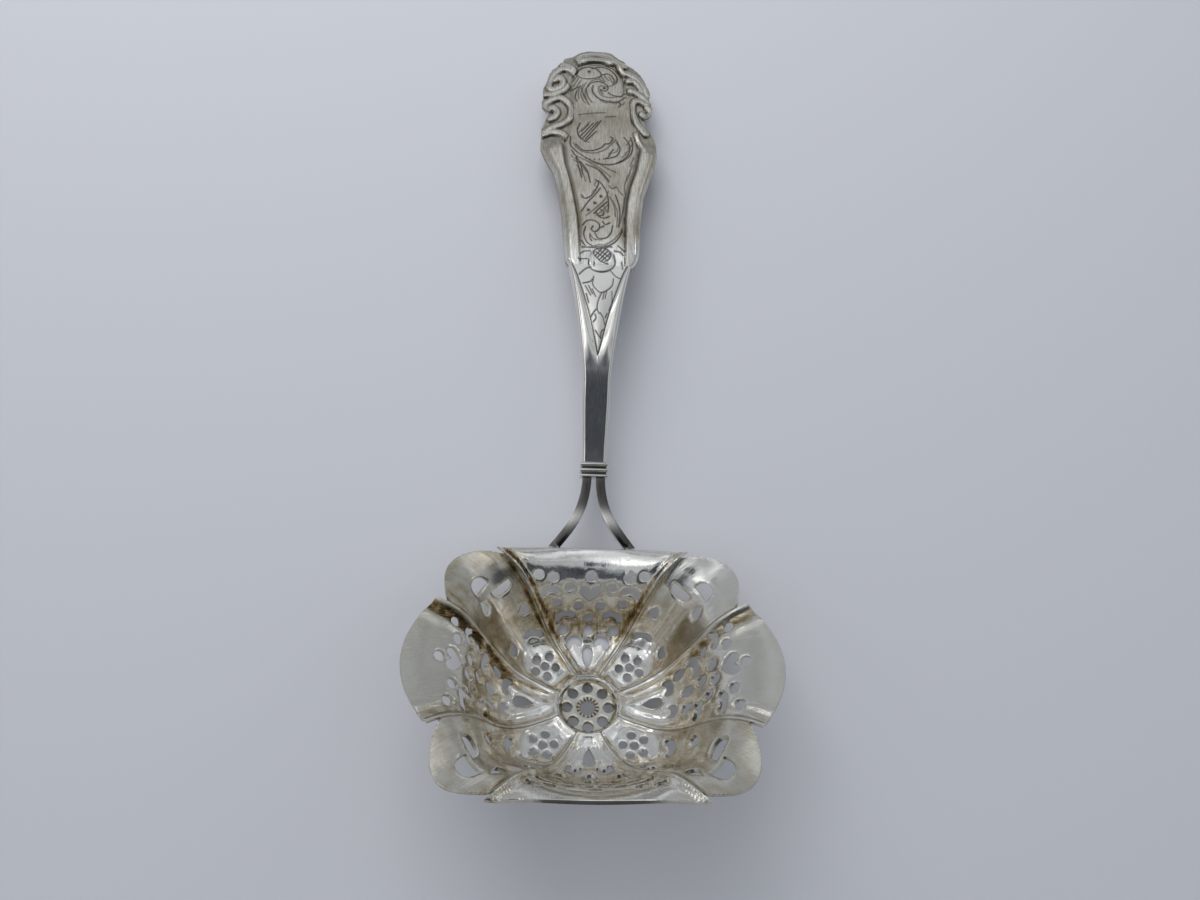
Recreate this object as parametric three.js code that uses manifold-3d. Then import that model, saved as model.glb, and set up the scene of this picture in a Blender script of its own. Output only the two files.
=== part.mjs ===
// A silver sugar sifter spoon: a pierced bowl of eight lobes on a forked stem with a hollow handle.
// Millimetres and degrees. +Y runs from the bowl to the handle's end, +Z is up, and the spoon lies on
// the plane z = 0 with its bowl tipped back towards the handle, as such a spoon does on a table.
import * as THREE from "three";
import { mergeVertices } from "three/addons/utils/BufferGeometryUtils.js";
import Module from "manifold-3d";

const wasm = await Module();
wasm.setup();

// Bowl
const BOWL_SHEET = 0.8; // thickness of the raised sheet
const BOWL_DEPTH = 22; // full rise of the wall's curve
const BOWL_TILT = 32; // tips back, so the front rim stands high
const WALL_RADIUS = 21.7; // where the wall is steepest
const WALL_SOFTNESS = 2.95; // smaller is a steeper wall
const OVAL_ACROSS = 1.06;
const OVAL_ALONG = 0.96;
const RIDGE_BEND = 0.67; // below 1, a ridge turns to its end bearing early
const SMALL_LOBE_REACH = 0.91; // share of a ridge at which the small lobes end
const LARGE_FLUTE = 0.8; // how far a large lobe lies below its ridges
const SMALL_FLUTE = 2.15;
const LARGE_FLUTE_POWER = 8; // high is a flat floor with a sharp rise to the ridge
const SMALL_FLUTE_POWER = 2;
const FLUTE_START = 0.25; // share of the lobe over which a flute deepens from the boss
const BACK_RIM_BOW = 1.5;
const SIDE_RIM_BOW = 6.1;
const SMALL_BACK_RIM_BOW = 7.3;
const SMALL_FRONT_RIM_BOW = 6.8;
const FRONT_RIM_BOW = -1.5;
const BACK_RIDGE_REACH = 32;
const BACK_SIDE_RIDGE_REACH = 33.7;
const FRONT_SIDE_RIDGE_REACH = 33.9;
const FRONT_RIDGE_REACH = 34.7;

// Boss: a round rim with a sunk, pierced disc inside
const BOSS_RADIUS = 6.6;
const BOSS_RIM_WIDTH = 0.9;
const BOSS_RIM_RISE = 0.3;
const BOSS_SINK = 0.6;
const BOSS_HOLE_CIRCLE = 4.4;
const BOSS_HOLE = 2.1;
const BOSS_HOLES = 8;
const STAR_RADIUS = 2;
const STAR_POINTS = 16;
const STAR_NOTCH = 0.72; // inner corners of the star, as a share of its radius

// Piercing of the lobes
const ROUND_HOLE = 2.4;
const BEAN_WIDTH = 4.6;
const BEAN_HEIGHT = 2.7;
const NARROW_BEAN = 0.75; // share of its width that the bean by the boss keeps
const HEART_WIDTH = 5;
const HEART_HEIGHT = 4.4;
const DROP_WIDTH = 2.4;
const DROP_HEIGHT = 4.6;
const FLOWER_HOLE = 1.9;
const FLOWER_PITCH = 2.35;
const PETALS = 5;
const SIDE_LOBE_PIERCED = 0.95; // the side lobes keep a wider plain band at the rim

// Fork, collar and stem
const SEAT_GAP = 0.3; // between neighbours that are soldered on the real spoon
const PRONG_WIDTH = 2.1;
const PRONG_THICKNESS = 2.2;
const FORK_SLIT = 0.8;
const FOOT_ACROSS = 0.3; // place of the feet across the back lobe, as a share
const FOOT_START = 0.99; // place of the feet along the back lobe, by the rim
const FOOT_LENGTH_SHARE = 0.12; // share of the back lobe's wall that a foot lies under
const FORK_LENGTH = 15.6; // from the back rim to the collar
const FORK_LIFT = 0.3; // the collar stands this much above the feet
const COLLAR_LENGTH = 3;
const COLLAR_WALL = 0.7;
const COLLAR_RIDGES = 3;
const COLLAR_RIDGE_RISE = 0.3;
const SPIGOT_LENGTH = 1.1;
const SPIGOT_THICKNESS = 1.4;
const STEM_LENGTH = 43; // from the collar to the shoulders
const STEM_WIDTH = 5;
const STEM_THICKNESS = 2.4;
const SHOULDER_WIDTH = 13.8;
const SHOULDER_THICKNESS = 4.2;
const SHOULDER_RISE = 3.5; // the stem climbs this much from collar to shoulders
const FLARE_START = 0.4; // share of the stem at which it starts to widen
const FLARE_POWER = 1.5; // above 1, the sides curve outwards
const TANG_LENGTH = 22;
const TANG_WIDTH = 5;
const TANG_THICKNESS = 2;

// Handle
const HANDLE_LENGTH = 59.2;
const HANDLE_HALF_WIDTH = 14.2; // of the wider left side, at its scrolls
const SHELL_SHEET = 0.7;
const SHELL_EDGE = 0.7; // height of each shell's wall at the seam
const RAIL_RISE = 2.9; // crest of the side rails above the seam
const PANEL_RISE = 2.1; // engraved panel above the seam
const EDGE_SHARE = 0.2; // of the half width, over which the edge rounds up to the rail
const PANEL_SHARE = 0.5; // of the half width, where the panel ends
const RAIL_SHARE = 0.72; // of the half width, where the rail's crest starts
const BACK_BELLY = 3.4; // back shell below the seam
const TIP_ROUNDING = 7; // length over which the shells close at the end

const REST_WEAR = 0.35; // depth of the worn flats that the spoon lies on

const radians = THREE.MathUtils.degToRad;
const clamp = THREE.MathUtils.clamp;
const lerp = THREE.MathUtils.lerp;

// Solids and cuts

const SOLID_WELD = 1e-4;
const FACE_WELD = 1e-3;

function toSolid(geometry) {
  const bare = new THREE.BufferGeometry();
  bare.setAttribute("position", geometry.getAttribute("position"));
  if (geometry.index) bare.setIndex(geometry.index);
  const merged = mergeVertices(bare, SOLID_WELD);
  return new wasm.Manifold(new wasm.Mesh({
    numProp: 3,
    vertProperties: new Float32Array(merged.getAttribute("position").array),
    triVerts: new Uint32Array(merged.index.array),
  }));
}

function toGeometry(solid) {
  const mesh = solid.getMesh();
  const geometry = new THREE.BufferGeometry();
  geometry.setAttribute("position", new THREE.BufferAttribute(mesh.vertProperties, 3));
  geometry.setIndex(new THREE.BufferAttribute(mesh.triVerts, 1));
  return geometry;
}

function indexed(points, triangles) {
  const geometry = new THREE.BufferGeometry().setFromPoints(points);
  geometry.setIndex(triangles);
  return geometry;
}

// A closed body through sections that are rings of points, each seen anticlockwise from the last one's
// end. Its ends are fans from a corner, or for wide sections strips between their two long sides.
function loft(sections, wideEnds = false) {
  const sides = sections[0].length;
  const triangles = [];
  for (let i = 0; i + 1 < sections.length; i++) {
    for (let j = 0; j < sides; j++) {
      const a = i * sides + j;
      const b = i * sides + (j + 1) % sides;
      triangles.push(a, b, b + sides, a, b + sides, a + sides);
    }
  }
  const last = (sections.length - 1) * sides;
  const cap = (a, b, c) => triangles.push(a, c, b, last + a, last + b, last + c);
  if (wideEnds) {
    for (let j = 0; j + 1 < sides / 2; j++) {
      cap(j, j + 1, sides - 2 - j);
      cap(j, sides - 2 - j, sides - 1 - j);
    }
  } else {
    for (let j = 1; j + 1 < sides; j++) cap(0, j, j + 1);
  }
  return indexed(sections.flat(), triangles);
}

// A rectangle with cut corners, in the plane of the two unit vectors.
function barSection(centre, across, up, width, thickness, corner) {
  const w = width / 2;
  const h = thickness / 2;
  const outline = [
    [w, -h + corner], [w, h - corner], [w - corner, h], [-w + corner, h],
    [-w, h - corner], [-w, -h + corner], [-w + corner, -h], [w - corner, -h],
  ];
  return outline.map(([x, z]) => centre.clone().addScaledVector(across, x).addScaledVector(up, z));
}

const ACROSS = new THREE.Vector3(1, 0, 0);
const UP = new THREE.Vector3(0, 0, 1);

// Bowl: ridges run from the boss to the rim, and a lobe is the patch between two of them

const rightRidges = [
  { start: -20.7, end: -25, reach: FRONT_SIDE_RIDGE_REACH },
  { start: 24, end: 21.5, reach: BACK_SIDE_RIDGE_REACH },
  { start: 72, end: 51, reach: BACK_RIDGE_REACH },
];
const frontRidge = { start: -70, end: -55.4, reach: FRONT_RIDGE_REACH };
const mirrored = ({ start, end, reach }) => ({ start: 180 - start, end: 180 - end, reach });
const turned = ({ start, end, reach }) => ({ start: 360 + start, end: 360 + end, reach });
const ridges = [
  ...rightRidges,
  ...rightRidges.map(mirrored).reverse(),
  mirrored(frontRidge),
  turned(frontRidge),
  turned(rightRidges[0]),
];
const large = { flute: LARGE_FLUTE, power: LARGE_FLUTE_POWER, small: false };
const small = { flute: SMALL_FLUTE, power: SMALL_FLUTE_POWER, small: true };
const lobes = [
  { ...large, bow: SIDE_RIM_BOW, pierced: SIDE_LOBE_PIERCED },
  { ...small, bow: SMALL_BACK_RIM_BOW, endRidge: 1 },
  { ...large, bow: BACK_RIM_BOW, pierced: 1 },
  { ...small, bow: SMALL_BACK_RIM_BOW, endRidge: 0 },
  { ...large, bow: SIDE_RIM_BOW, pierced: SIDE_LOBE_PIERCED },
  { ...small, bow: SMALL_FRONT_RIM_BOW, endRidge: 1 },
  { ...large, bow: FRONT_RIM_BOW, pierced: 1 },
  { ...small, bow: SMALL_FRONT_RIM_BOW, endRidge: 0 },
].map((lobe, i) => ({ ...lobe, from: ridges[i], to: ridges[i + 1] }));
const BACK_LOBE = lobes[2];

function ridgePoint(ridge, share) {
  const bearing = radians(lerp(ridge.start, ridge.end, share ** RIDGE_BEND));
  const radius = lerp(BOSS_RADIUS, ridge.reach, share);
  return new THREE.Vector2(radius * Math.cos(bearing), radius * Math.sin(bearing));
}

const wallRise = (radius) => BOWL_DEPTH / (1 + Math.exp((WALL_RADIUS - radius) / WALL_SOFTNESS));
const wallHeight = (x, y) => wallRise(Math.hypot(x / OVAL_ACROSS, y / OVAL_ALONG)) - wallRise(BOSS_RADIUS);

function wallNormal(x, y) {
  const step = 0.05;
  const dx = (wallHeight(x + step, y) - wallHeight(x - step, y)) / (2 * step);
  const dy = (wallHeight(x, y + step) - wallHeight(x, y - step)) / (2 * step);
  return new THREE.Vector3(-dx, -dy, 1).normalize();
}

// Plan of a lobe: the patch bounded by two ridges, an arc of the boss and the bowed rim.
function lobePlan(lobe, u, t) {
  const reach = lobe.small ? SMALL_LOBE_REACH : 1;
  const [from, to] = [lobe.from, lobe.to];
  const corners = [ridgePoint(from, 0), ridgePoint(to, 0), ridgePoint(from, reach), ridgePoint(to, reach)];
  const bearing = radians(lerp(from.start, to.start, u));
  const boss = new THREE.Vector2(BOSS_RADIUS * Math.cos(bearing), BOSS_RADIUS * Math.sin(bearing));
  const chord = corners[3].clone().sub(corners[2]);
  const outward = new THREE.Vector2(chord.y, -chord.x).normalize();
  const bow = 4 * u * (1 - u) * lobe.bow;
  const rim = corners[2].clone().addScaledVector(chord, u).addScaledVector(outward, bow);
  const plan = new THREE.Vector2()
    .addScaledVector(ridgePoint(from, t * reach), 1 - u)
    .addScaledVector(ridgePoint(to, t * reach), u)
    .addScaledVector(boss, 1 - t)
    .addScaledVector(rim, t);
  const weights = [(1 - u) * (1 - t), u * (1 - t), (1 - u) * t, u * t];
  corners.forEach((corner, i) => plan.addScaledVector(corner, -weights[i]));
  return plan;
}

const tiltBack = new THREE.Matrix4().makeRotationX(-radians(BOWL_TILT));

// A point of a lobe, at a depth below its upper face. The boss's centre is the origin here.
function lobePoint(lobe, u, t, depth = 0) {
  const { x, y } = lobePlan(lobe, u, t);
  const flute = lobe.flute * clamp(t / FLUTE_START, 0, 1) * (1 - Math.abs(2 * u - 1) ** lobe.power);
  const point = new THREE.Vector3(x, y, wallHeight(x, y));
  return point.addScaledVector(wallNormal(x, y), -flute - depth).applyMatrix4(tiltBack);
}

function bossPoint(bearing, radius, height, depth) {
  const point = new THREE.Vector3(radius * Math.cos(bearing), radius * Math.sin(bearing), height - depth);
  return point.applyMatrix4(tiltBack);
}

const LARGE_LOBE_STEPS = 5;
const SMALL_LOBE_STEPS = 4;
const WALL_STEPS = 6;

function lobeRows(lobe) {
  const shared = Array.from({ length: WALL_STEPS + 1 }, (_, i) => i / WALL_STEPS);
  return lobe.small ? shared : [...shared.map((t) => t * SMALL_LOBE_REACH), 1];
}

// One face of the sheet as loose triangles: every lobe, then the boss.
function bowlFace(depth) {
  const corners = [];
  const quad = (a, b, c, d) => corners.push(a, b, c, a, c, d);
  const bossRings = [
    [BOSS_RADIUS - BOSS_RIM_WIDTH / 2, BOSS_RIM_RISE],
    [BOSS_RADIUS - BOSS_RIM_WIDTH, -BOSS_SINK],
  ];
  for (const lobe of lobes) {
    const rows = lobeRows(lobe);
    const steps = lobe.small ? SMALL_LOBE_STEPS : LARGE_LOBE_STEPS;
    for (let j = 0; j < steps; j++) {
      const [u, next] = [j / steps, (j + 1) / steps];
      for (let i = 0; i + 1 < rows.length; i++) {
        const ends = [[u, rows[i]], [u, rows[i + 1]], [next, rows[i + 1]], [next, rows[i]]];
        quad(...ends.map(([across, along]) => lobePoint(lobe, across, along, depth)));
      }
      const bearings = [u, next].map((across) => radians(lerp(lobe.from.start, lobe.to.start, across)));
      let outer = [lobePoint(lobe, u, 0, depth), lobePoint(lobe, next, 0, depth)];
      for (const [radius, height] of bossRings) {
        const inner = bearings.map((bearing) => bossPoint(bearing, radius, height, depth));
        quad(inner[0], outer[0], outer[1], inner[1]);
        outer = inner;
      }
      corners.push(bossPoint(0, 0, -BOSS_SINK, depth), outer[0], outer[1]);
    }
  }
  return mergeVertices(new THREE.BufferGeometry().setFromPoints(corners), FACE_WELD);
}

// Both faces of the sheet, closed along every edge that only one triangle has.
function bowlSheet() {
  const upper = bowlFace(0);
  const lower = bowlFace(BOWL_SHEET);
  const count = upper.getAttribute("position").count;
  const faces = [...upper.index.array];
  const triangles = [...faces];
  const edges = new Map();
  for (let i = 0; i < faces.length; i += 3) {
    const [a, b, c] = faces.slice(i, i + 3);
    triangles.push(a + count, c + count, b + count);
    for (const [from, to] of [[a, b], [b, c], [c, a]]) {
      if (!edges.delete(`${to} ${from}`)) edges.set(`${from} ${to}`, [from, to]);
    }
  }
  for (const [from, to] of edges.values()) {
    triangles.push(from, from + count, to + count, from, to + count, to);
  }
  const positions = new Float32Array(count * 6);
  positions.set(upper.getAttribute("position").array, 0);
  positions.set(lower.getAttribute("position").array, count * 3);
  const geometry = new THREE.BufferGeometry();
  geometry.setAttribute("position", new THREE.BufferAttribute(positions, 3));
  geometry.setIndex(triangles);
  return geometry;
}

// Outlines of the holes: x across the lobe, y towards the rim

const ROUND_SIDES = 6;

function roundHole(diameter, x = 0, y = 0) {
  const outline = Array.from({ length: ROUND_SIDES }, (_, i) => {
    const bearing = (i * 2 * Math.PI) / ROUND_SIDES;
    const radius = diameter / 2;
    return new THREE.Vector2(x + radius * Math.cos(bearing), y + radius * Math.sin(bearing));
  });
  return new THREE.Shape(outline);
}

function beanHole(width, height) {
  const [w, h] = [width / 2, height / 2];
  return new THREE.Shape()
    .moveTo(-w, -h * 0.5)
    .quadraticCurveTo(-w, h, 0, h)
    .quadraticCurveTo(w, h, w, -h * 0.5)
    .quadraticCurveTo(w * 0.75, -h * 1.4, w * 0.4, -h * 0.6)
    .quadraticCurveTo(0, 0, -w * 0.4, -h * 0.6)
    .quadraticCurveTo(-w * 0.75, -h * 1.4, -w, -h * 0.5);
}

function heartHole(width, height) {
  const [w, h] = [width / 2, height / 2];
  return new THREE.Shape()
    .moveTo(0, -h)
    .quadraticCurveTo(w * 0.8, -h * 0.3, w, h * 0.3)
    .bezierCurveTo(w, h * 1.25, w * 0.2, h * 1.2, 0, h * 0.45)
    .bezierCurveTo(-w * 0.2, h * 1.2, -w, h * 1.25, -w, h * 0.3)
    .quadraticCurveTo(-w * 0.8, -h * 0.3, 0, -h);
}

function dropHole(width, height) {
  const [w, h] = [width / 2, height / 2];
  return new THREE.Shape()
    .moveTo(0, -h)
    .quadraticCurveTo(w, -h * 0.2, w, h * 0.35)
    .quadraticCurveTo(w, h, 0, h)
    .quadraticCurveTo(-w, h, -w, h * 0.35)
    .quadraticCurveTo(-w, -h * 0.2, 0, -h);
}

function starHole(radius, points) {
  const outline = Array.from({ length: 2 * points }, (_, i) => {
    const reach = i % 2 ? radius * STAR_NOTCH : radius;
    const bearing = (i * Math.PI) / points;
    return new THREE.Vector2(reach * Math.cos(bearing), reach * Math.sin(bearing));
  });
  return new THREE.Shape(outline);
}

const CUT_LENGTH = 5 * BOWL_SHEET;
const CURVE_STEPS = 2;

function cutter(shape, centre, across, along, turn = 0) {
  const settings = { depth: CUT_LENGTH, bevelEnabled: false, curveSegments: CURVE_STEPS };
  const geometry = new THREE.ExtrudeGeometry(shape, settings);
  geometry.translate(0, 0, -CUT_LENGTH / 2).rotateZ(radians(turn));
  const normal = across.clone().cross(along).normalize();
  const basis = new THREE.Matrix4().makeBasis(across, normal.clone().cross(across), normal);
  return toSolid(geometry.applyMatrix4(basis.setPosition(centre)));
}

function lobeCutter(shape, lobe, u, t, turn = 0) {
  const step = 0.02;
  const centre = lobePoint(lobe, u, t, BOWL_SHEET / 2);
  const along = lobePoint(lobe, u, t + step).sub(lobePoint(lobe, u, t - step)).normalize();
  const around = lobePoint(lobe, u - step, t).sub(lobePoint(lobe, u + step, t));
  const across = around.addScaledVector(along, -around.dot(along)).normalize();
  return cutter(shape, centre, across, along, turn);
}

// A large lobe from the boss to the rim: place along the wall, and places each side of the middle.
const largePattern = [
  { shape: dropHole(DROP_WIDTH, DROP_HEIGHT), along: 0.2, across: [0] },
  { shape: beanHole(BEAN_WIDTH * NARROW_BEAN, BEAN_HEIGHT), along: 0.335, across: [0.21] },
  { shape: roundHole(ROUND_HOLE), along: 0.425, across: [0, 0.31] },
  { shape: beanHole(BEAN_WIDTH, BEAN_HEIGHT), along: 0.525, across: [0.245] },
  { shape: roundHole(ROUND_HOLE), along: 0.515, across: [0] },
  { shape: roundHole(ROUND_HOLE), along: 0.6, across: [0.1, 0.3] },
  { shape: beanHole(BEAN_WIDTH, BEAN_HEIGHT), along: 0.665, across: [0.335] },
  { shape: heartHole(HEART_WIDTH, HEART_HEIGHT), along: 0.68, across: [0] },
  { shape: roundHole(ROUND_HOLE), along: 0.715, across: [0.165] },
  { shape: roundHole(ROUND_HOLE), along: 0.75, across: [0.275, 0.38] },
  { shape: roundHole(ROUND_HOLE), along: 0.79, across: [0] },
];

// A small lobe: across is measured from its side ridge to its end ridge. The drops' widths and heights
// are shares of the large lobes' drop.
const slimBean = beanHole(BEAN_WIDTH, BEAN_HEIGHT * NARROW_BEAN);
const crescent = { shape: slimBean, along: 0.4, across: 0.72, turn: 25 };
const smallDrops = [
  { width: 1, height: 0.7, along: 0.4, across: 0.23, turn: 0 },
  { width: 1.04, height: 0.67, along: 0.53, across: 0.79, turn: 180 },
  { width: 0.88, height: 0.78, along: 0.58, across: 0.22, turn: 180 },
  { width: 1.12, height: 0.96, along: 0.66, across: 0.66, turn: -30 },
  { width: 1.33, height: 0.91, along: 0.72, across: 0.36, turn: 40 },
].map((drop) => ({ ...drop, shape: dropHole(DROP_WIDTH * drop.width, DROP_HEIGHT * drop.height) }));
const smallPattern = [crescent, ...smallDrops];
const FLOWER_ALONG = 0.2;

function largeLobeCutters(lobe) {
  return largePattern.flatMap(({ shape, along, across }) => {
    const sides = across.flatMap((offset) => (offset ? [-offset, offset] : [0]));
    return sides.map((offset) => lobeCutter(shape, lobe, 0.5 + offset, along * lobe.pierced));
  });
}

function smallLobeCutters(lobe) {
  const flip = lobe.endRidge ? 1 : -1;
  const motifs = smallPattern.map(({ shape, along, across, turn }) => {
    const u = lobe.endRidge ? across : 1 - across;
    return lobeCutter(shape, lobe, u, along, flip * turn);
  });
  const flower = Array.from({ length: PETALS + 1 }, (_, i) => {
    const reach = i ? FLOWER_PITCH : 0;
    const bearing = (i * 2 * Math.PI) / PETALS;
    const petal = roundHole(FLOWER_HOLE, reach * Math.sin(bearing), reach * Math.cos(bearing));
    return lobeCutter(petal, lobe, 0.5, FLOWER_ALONG);
  });
  return [...motifs, ...flower];
}

function bossCutters() {
  const across = ACROSS.clone();
  const along = new THREE.Vector3(0, 1, 0).transformDirection(tiltBack);
  const place = (bearing, radius) => bossPoint(bearing, radius, -BOSS_SINK, BOWL_SHEET / 2);
  const holes = Array.from({ length: BOSS_HOLES }, (_, i) => {
    const bearing = (i * 2 * Math.PI) / BOSS_HOLES;
    return cutter(roundHole(BOSS_HOLE), place(bearing, BOSS_HOLE_CIRCLE), across, along);
  });
  return [...holes, cutter(starHole(STAR_RADIUS, STAR_POINTS), place(0, 0), across, along)];
}

// The plane that the spoon lies on, just above the sheet's lowest point.
const sheet = bowlSheet();
sheet.computeBoundingBox();
const FLOOR = sheet.boundingBox.min.z + REST_WEAR;

function cutAtFloor(solid) {
  const size = 4 * (HANDLE_LENGTH + STEM_LENGTH);
  const slab = new THREE.BoxGeometry(size, size, size).translate(0, 0, FLOOR - size / 2);
  return solid.subtract(toSolid(slab));
}

function piercedBowl() {
  let bowl = cutAtFloor(toSolid(sheet));
  const holes = lobes.flatMap((lobe) => (lobe.small ? smallLobeCutters(lobe) : largeLobeCutters(lobe)));
  for (const hole of [...holes, ...bossCutters()]) bowl = bowl.subtract(hole);
  return toGeometry(bowl);
}

// Fork, collar and stem: sections stand across Y, and their middle climbs with the stem

const FOOT_DEPTH = BOWL_SHEET + SEAT_GAP + PRONG_THICKNESS / 2;
const footSeat = (t) => lobePoint(BACK_LOBE, FOOT_ACROSS, t, FOOT_DEPTH);
const RIM_END = footSeat(FOOT_START);
const COLLAR_Y = RIM_END.y + FORK_LENGTH;
const STEM_Y = COLLAR_Y + COLLAR_LENGTH + SEAT_GAP;
const SHOULDER_Y = STEM_Y + STEM_LENGTH;
const FORK_HEIGHT = RIM_END.z + FORK_LIFT;

function stemHeight(y) {
  const share = clamp((y - COLLAR_Y) / (SHOULDER_Y - COLLAR_Y), 0, 1);
  return FORK_HEIGHT + SHOULDER_RISE * Math.sin((share * Math.PI) / 2);
}

// A section of the stem, leaning back from upright by an angle.
function stemSection(x, y, width, thickness, corner, lean = 0) {
  const up = new THREE.Vector3(0, Math.sin(lean), Math.cos(lean));
  return barSection(new THREE.Vector3(x, y, stemHeight(y)), ACROSS, up, width, thickness, corner);
}

const PRONG_X = (FORK_SLIT + PRONG_WIDTH) / 2;
const BORE_WIDTH = 2 * PRONG_WIDTH;
const BORE_THICKNESS = SPIGOT_THICKNESS + 2 * SEAT_GAP;
const SPIGOT_WIDTH = BORE_WIDTH - 2 * SEAT_GAP;
const PRONG_SPIGOT_WIDTH = (SPIGOT_WIDTH - 2 * SEAT_GAP) / 2;
const PRONG_SPIGOT_X = (PRONG_SPIGOT_WIDTH + 2 * SEAT_GAP) / 2;
const EDGE_CUT = 0.25;
const PRONG_STEPS = 8;

// Sections of bars are drawn anticlockwise seen from the bowl, so a loft towards +Y takes them reversed.
const outward = (sections) => sections.map((section) => [...section].reverse());

// The middle of the right prong: straight out of the collar, then a bow to the rim, then the foot.
function prongPath(top) {
  const start = new THREE.Vector3(PRONG_X, top, stemHeight(top));
  const straight = new THREE.Vector3(PRONG_X * 1.2, lerp(top, RIM_END.y, 0.5), start.z);
  const bowed = new THREE.Vector3(RIM_END.x * 0.6, lerp(top, RIM_END.y, 0.72), RIM_END.z);
  const curve = new THREE.CubicBezierCurve3(start, straight, bowed, RIM_END);
  const foot = [0.5, 1].map((share) => footSeat(FOOT_START - share * FOOT_LENGTH_SHARE));
  return [...curve.getPoints(PRONG_STEPS), ...foot];
}

function prong(side) {
  const top = COLLAR_Y - SEAT_GAP;
  const spigot = [COLLAR_Y + SPIGOT_LENGTH, top].map((y) =>
    stemSection(PRONG_SPIGOT_X, y, PRONG_SPIGOT_WIDTH, SPIGOT_THICKNESS, EDGE_CUT));
  const path = prongPath(top);
  const body = path.map((centre, i) => {
    const before = path[Math.max(i - 1, 0)];
    const after = path[Math.min(i + 1, path.length - 1)];
    const ahead = i ? after.clone().sub(before).normalize() : new THREE.Vector3(0, -1, 0);
    const across = UP.clone().cross(ahead).normalize();
    return barSection(centre, across, ahead.clone().cross(across), PRONG_WIDTH, PRONG_THICKNESS, EDGE_CUT);
  });
  const geometry = loft([...spigot, ...body]);
  if (side > 0) return geometry;
  const left = geometry.clone().scale(-1, 1, 1);
  left.setIndex([...left.index.array].reverse());
  return left;
}

const STEPS_PER_RIDGE = 4;

function stemCollar() {
  const steps = STEPS_PER_RIDGE * COLLAR_RIDGES;
  const sections = Array.from({ length: steps + 1 }, (_, i) => {
    const rise = COLLAR_RIDGE_RISE * (1 - Math.cos((i * 2 * Math.PI) / STEPS_PER_RIDGE));
    const y = COLLAR_Y + (COLLAR_LENGTH * i) / steps;
    const wall = 2 * COLLAR_WALL + rise;
    return stemSection(0, y, BORE_WIDTH + wall, BORE_THICKNESS + wall, 2 * EDGE_CUT);
  });
  const bore = [COLLAR_Y - 1, COLLAR_Y + COLLAR_LENGTH + 1].map((y) =>
    stemSection(0, y, BORE_WIDTH, BORE_THICKNESS, EDGE_CUT));
  const solid = toSolid(loft(outward(sections))).subtract(toSolid(loft(outward(bore))));
  return toGeometry(solid);
}

const STEM_STEPS = 14;

function stemBar() {
  const spigotEnd = COLLAR_Y + SPIGOT_LENGTH + SEAT_GAP;
  const spigot = [spigotEnd, STEM_Y].map((y) => stemSection(0, y, SPIGOT_WIDTH, SPIGOT_THICKNESS, EDGE_CUT));
  const bar = Array.from({ length: STEM_STEPS + 1 }, (_, i) => {
    const share = i / STEM_STEPS;
    const flare = clamp((share - FLARE_START) / (1 - FLARE_START), 0, 1) ** FLARE_POWER;
    const width = lerp(STEM_WIDTH, SHOULDER_WIDTH, flare);
    const thickness = lerp(STEM_THICKNESS, SHOULDER_THICKNESS, flare);
    const y = lerp(STEM_Y, SHOULDER_Y, share);
    return stemSection(0, y, width, thickness, 2 * EDGE_CUT, HANDLE_PITCH * flare);
  });
  const tang = [0, TANG_LENGTH].map((reach) => {
    const centre = new THREE.Vector3(0, reach, 0);
    const section = barSection(centre, ACROSS, UP, TANG_WIDTH, TANG_THICKNESS, EDGE_CUT);
    return section.map((point) => point.applyMatrix4(tangPlace));
  });
  return loft(outward([...spigot, ...bar, ...tang]));
}

// Handle: two shells over a core. x runs across, y from the shoulders to the end, z up from the seam

const SHOULDER_HEIGHT = stemHeight(SHOULDER_Y);
const END_HEIGHT = FLOOR + BACK_BELLY - REST_WEAR;
const HANDLE_PITCH = Math.asin((SHOULDER_HEIGHT - END_HEIGHT) / (HANDLE_LENGTH - TIP_ROUNDING));
const pitched = (y) => new THREE.Matrix4().makeRotationX(-HANDLE_PITCH).setPosition(0, y, SHOULDER_HEIGHT);
const handlePlace = pitched(SHOULDER_Y + SEAT_GAP);
const tangPlace = pitched(SHOULDER_Y);

// Half widths along the handle, both as shares: rails, waist of the scrolls, round end.
const leftOutline = [
  [0, 0.556], [0.16, 0.592], [0.29, 0.662], [0.4, 0.761], [0.5, 0.958], [0.55, 0.993], [0.6, 0.986],
  [0.67, 0.873], [0.72, 1], [0.79, 0.972], [0.85, 0.887], [0.9, 0.746], [0.95, 0.592], [1, 0.282],
];
const rightOutline = [
  [0, 0.62], [0.12, 0.641], [0.25, 0.676], [0.37, 0.782], [0.46, 0.894], [0.5, 0.937], [0.57, 0.873],
  [0.65, 0.718], [0.71, 0.845], [0.78, 0.803], [0.85, 0.725], [0.91, 0.535], [0.96, 0.338], [1, 0.106],
];
const HANDLE_STEPS = 26;
const ACROSS_STEPS = 10;

function halfWidth(outline, share) {
  const next = outline.findIndex(([at]) => at >= share - 1e-9);
  if (next <= 0) return outline[0][1] * HANDLE_HALF_WIDTH;
  const [[a, before], [b, after]] = [outline[next - 1], outline[next]];
  return lerp(before, after, THREE.MathUtils.smoothstep(share, a, b)) * HANDLE_HALF_WIDTH;
}

// 1 along the handle, falling to 0 as the shells close at the end.
function endRound(y) {
  const share = clamp((y - HANDLE_LENGTH + TIP_ROUNDING) / TIP_ROUNDING, 0, 1);
  return Math.sqrt(1 - share * share);
}

function frontRise(y, v) {
  const edge = clamp((1 - Math.abs(v)) / EDGE_SHARE, 0, 1);
  const crown = Math.sqrt(1 - (1 - edge) ** 2);
  const panel = THREE.MathUtils.smoothstep(Math.abs(v), PANEL_SHARE, RAIL_SHARE);
  const rise = lerp(PANEL_RISE, RAIL_RISE, panel);
  return SHELL_EDGE + (rise - SHELL_EDGE) * crown * endRound(y);
}

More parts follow.
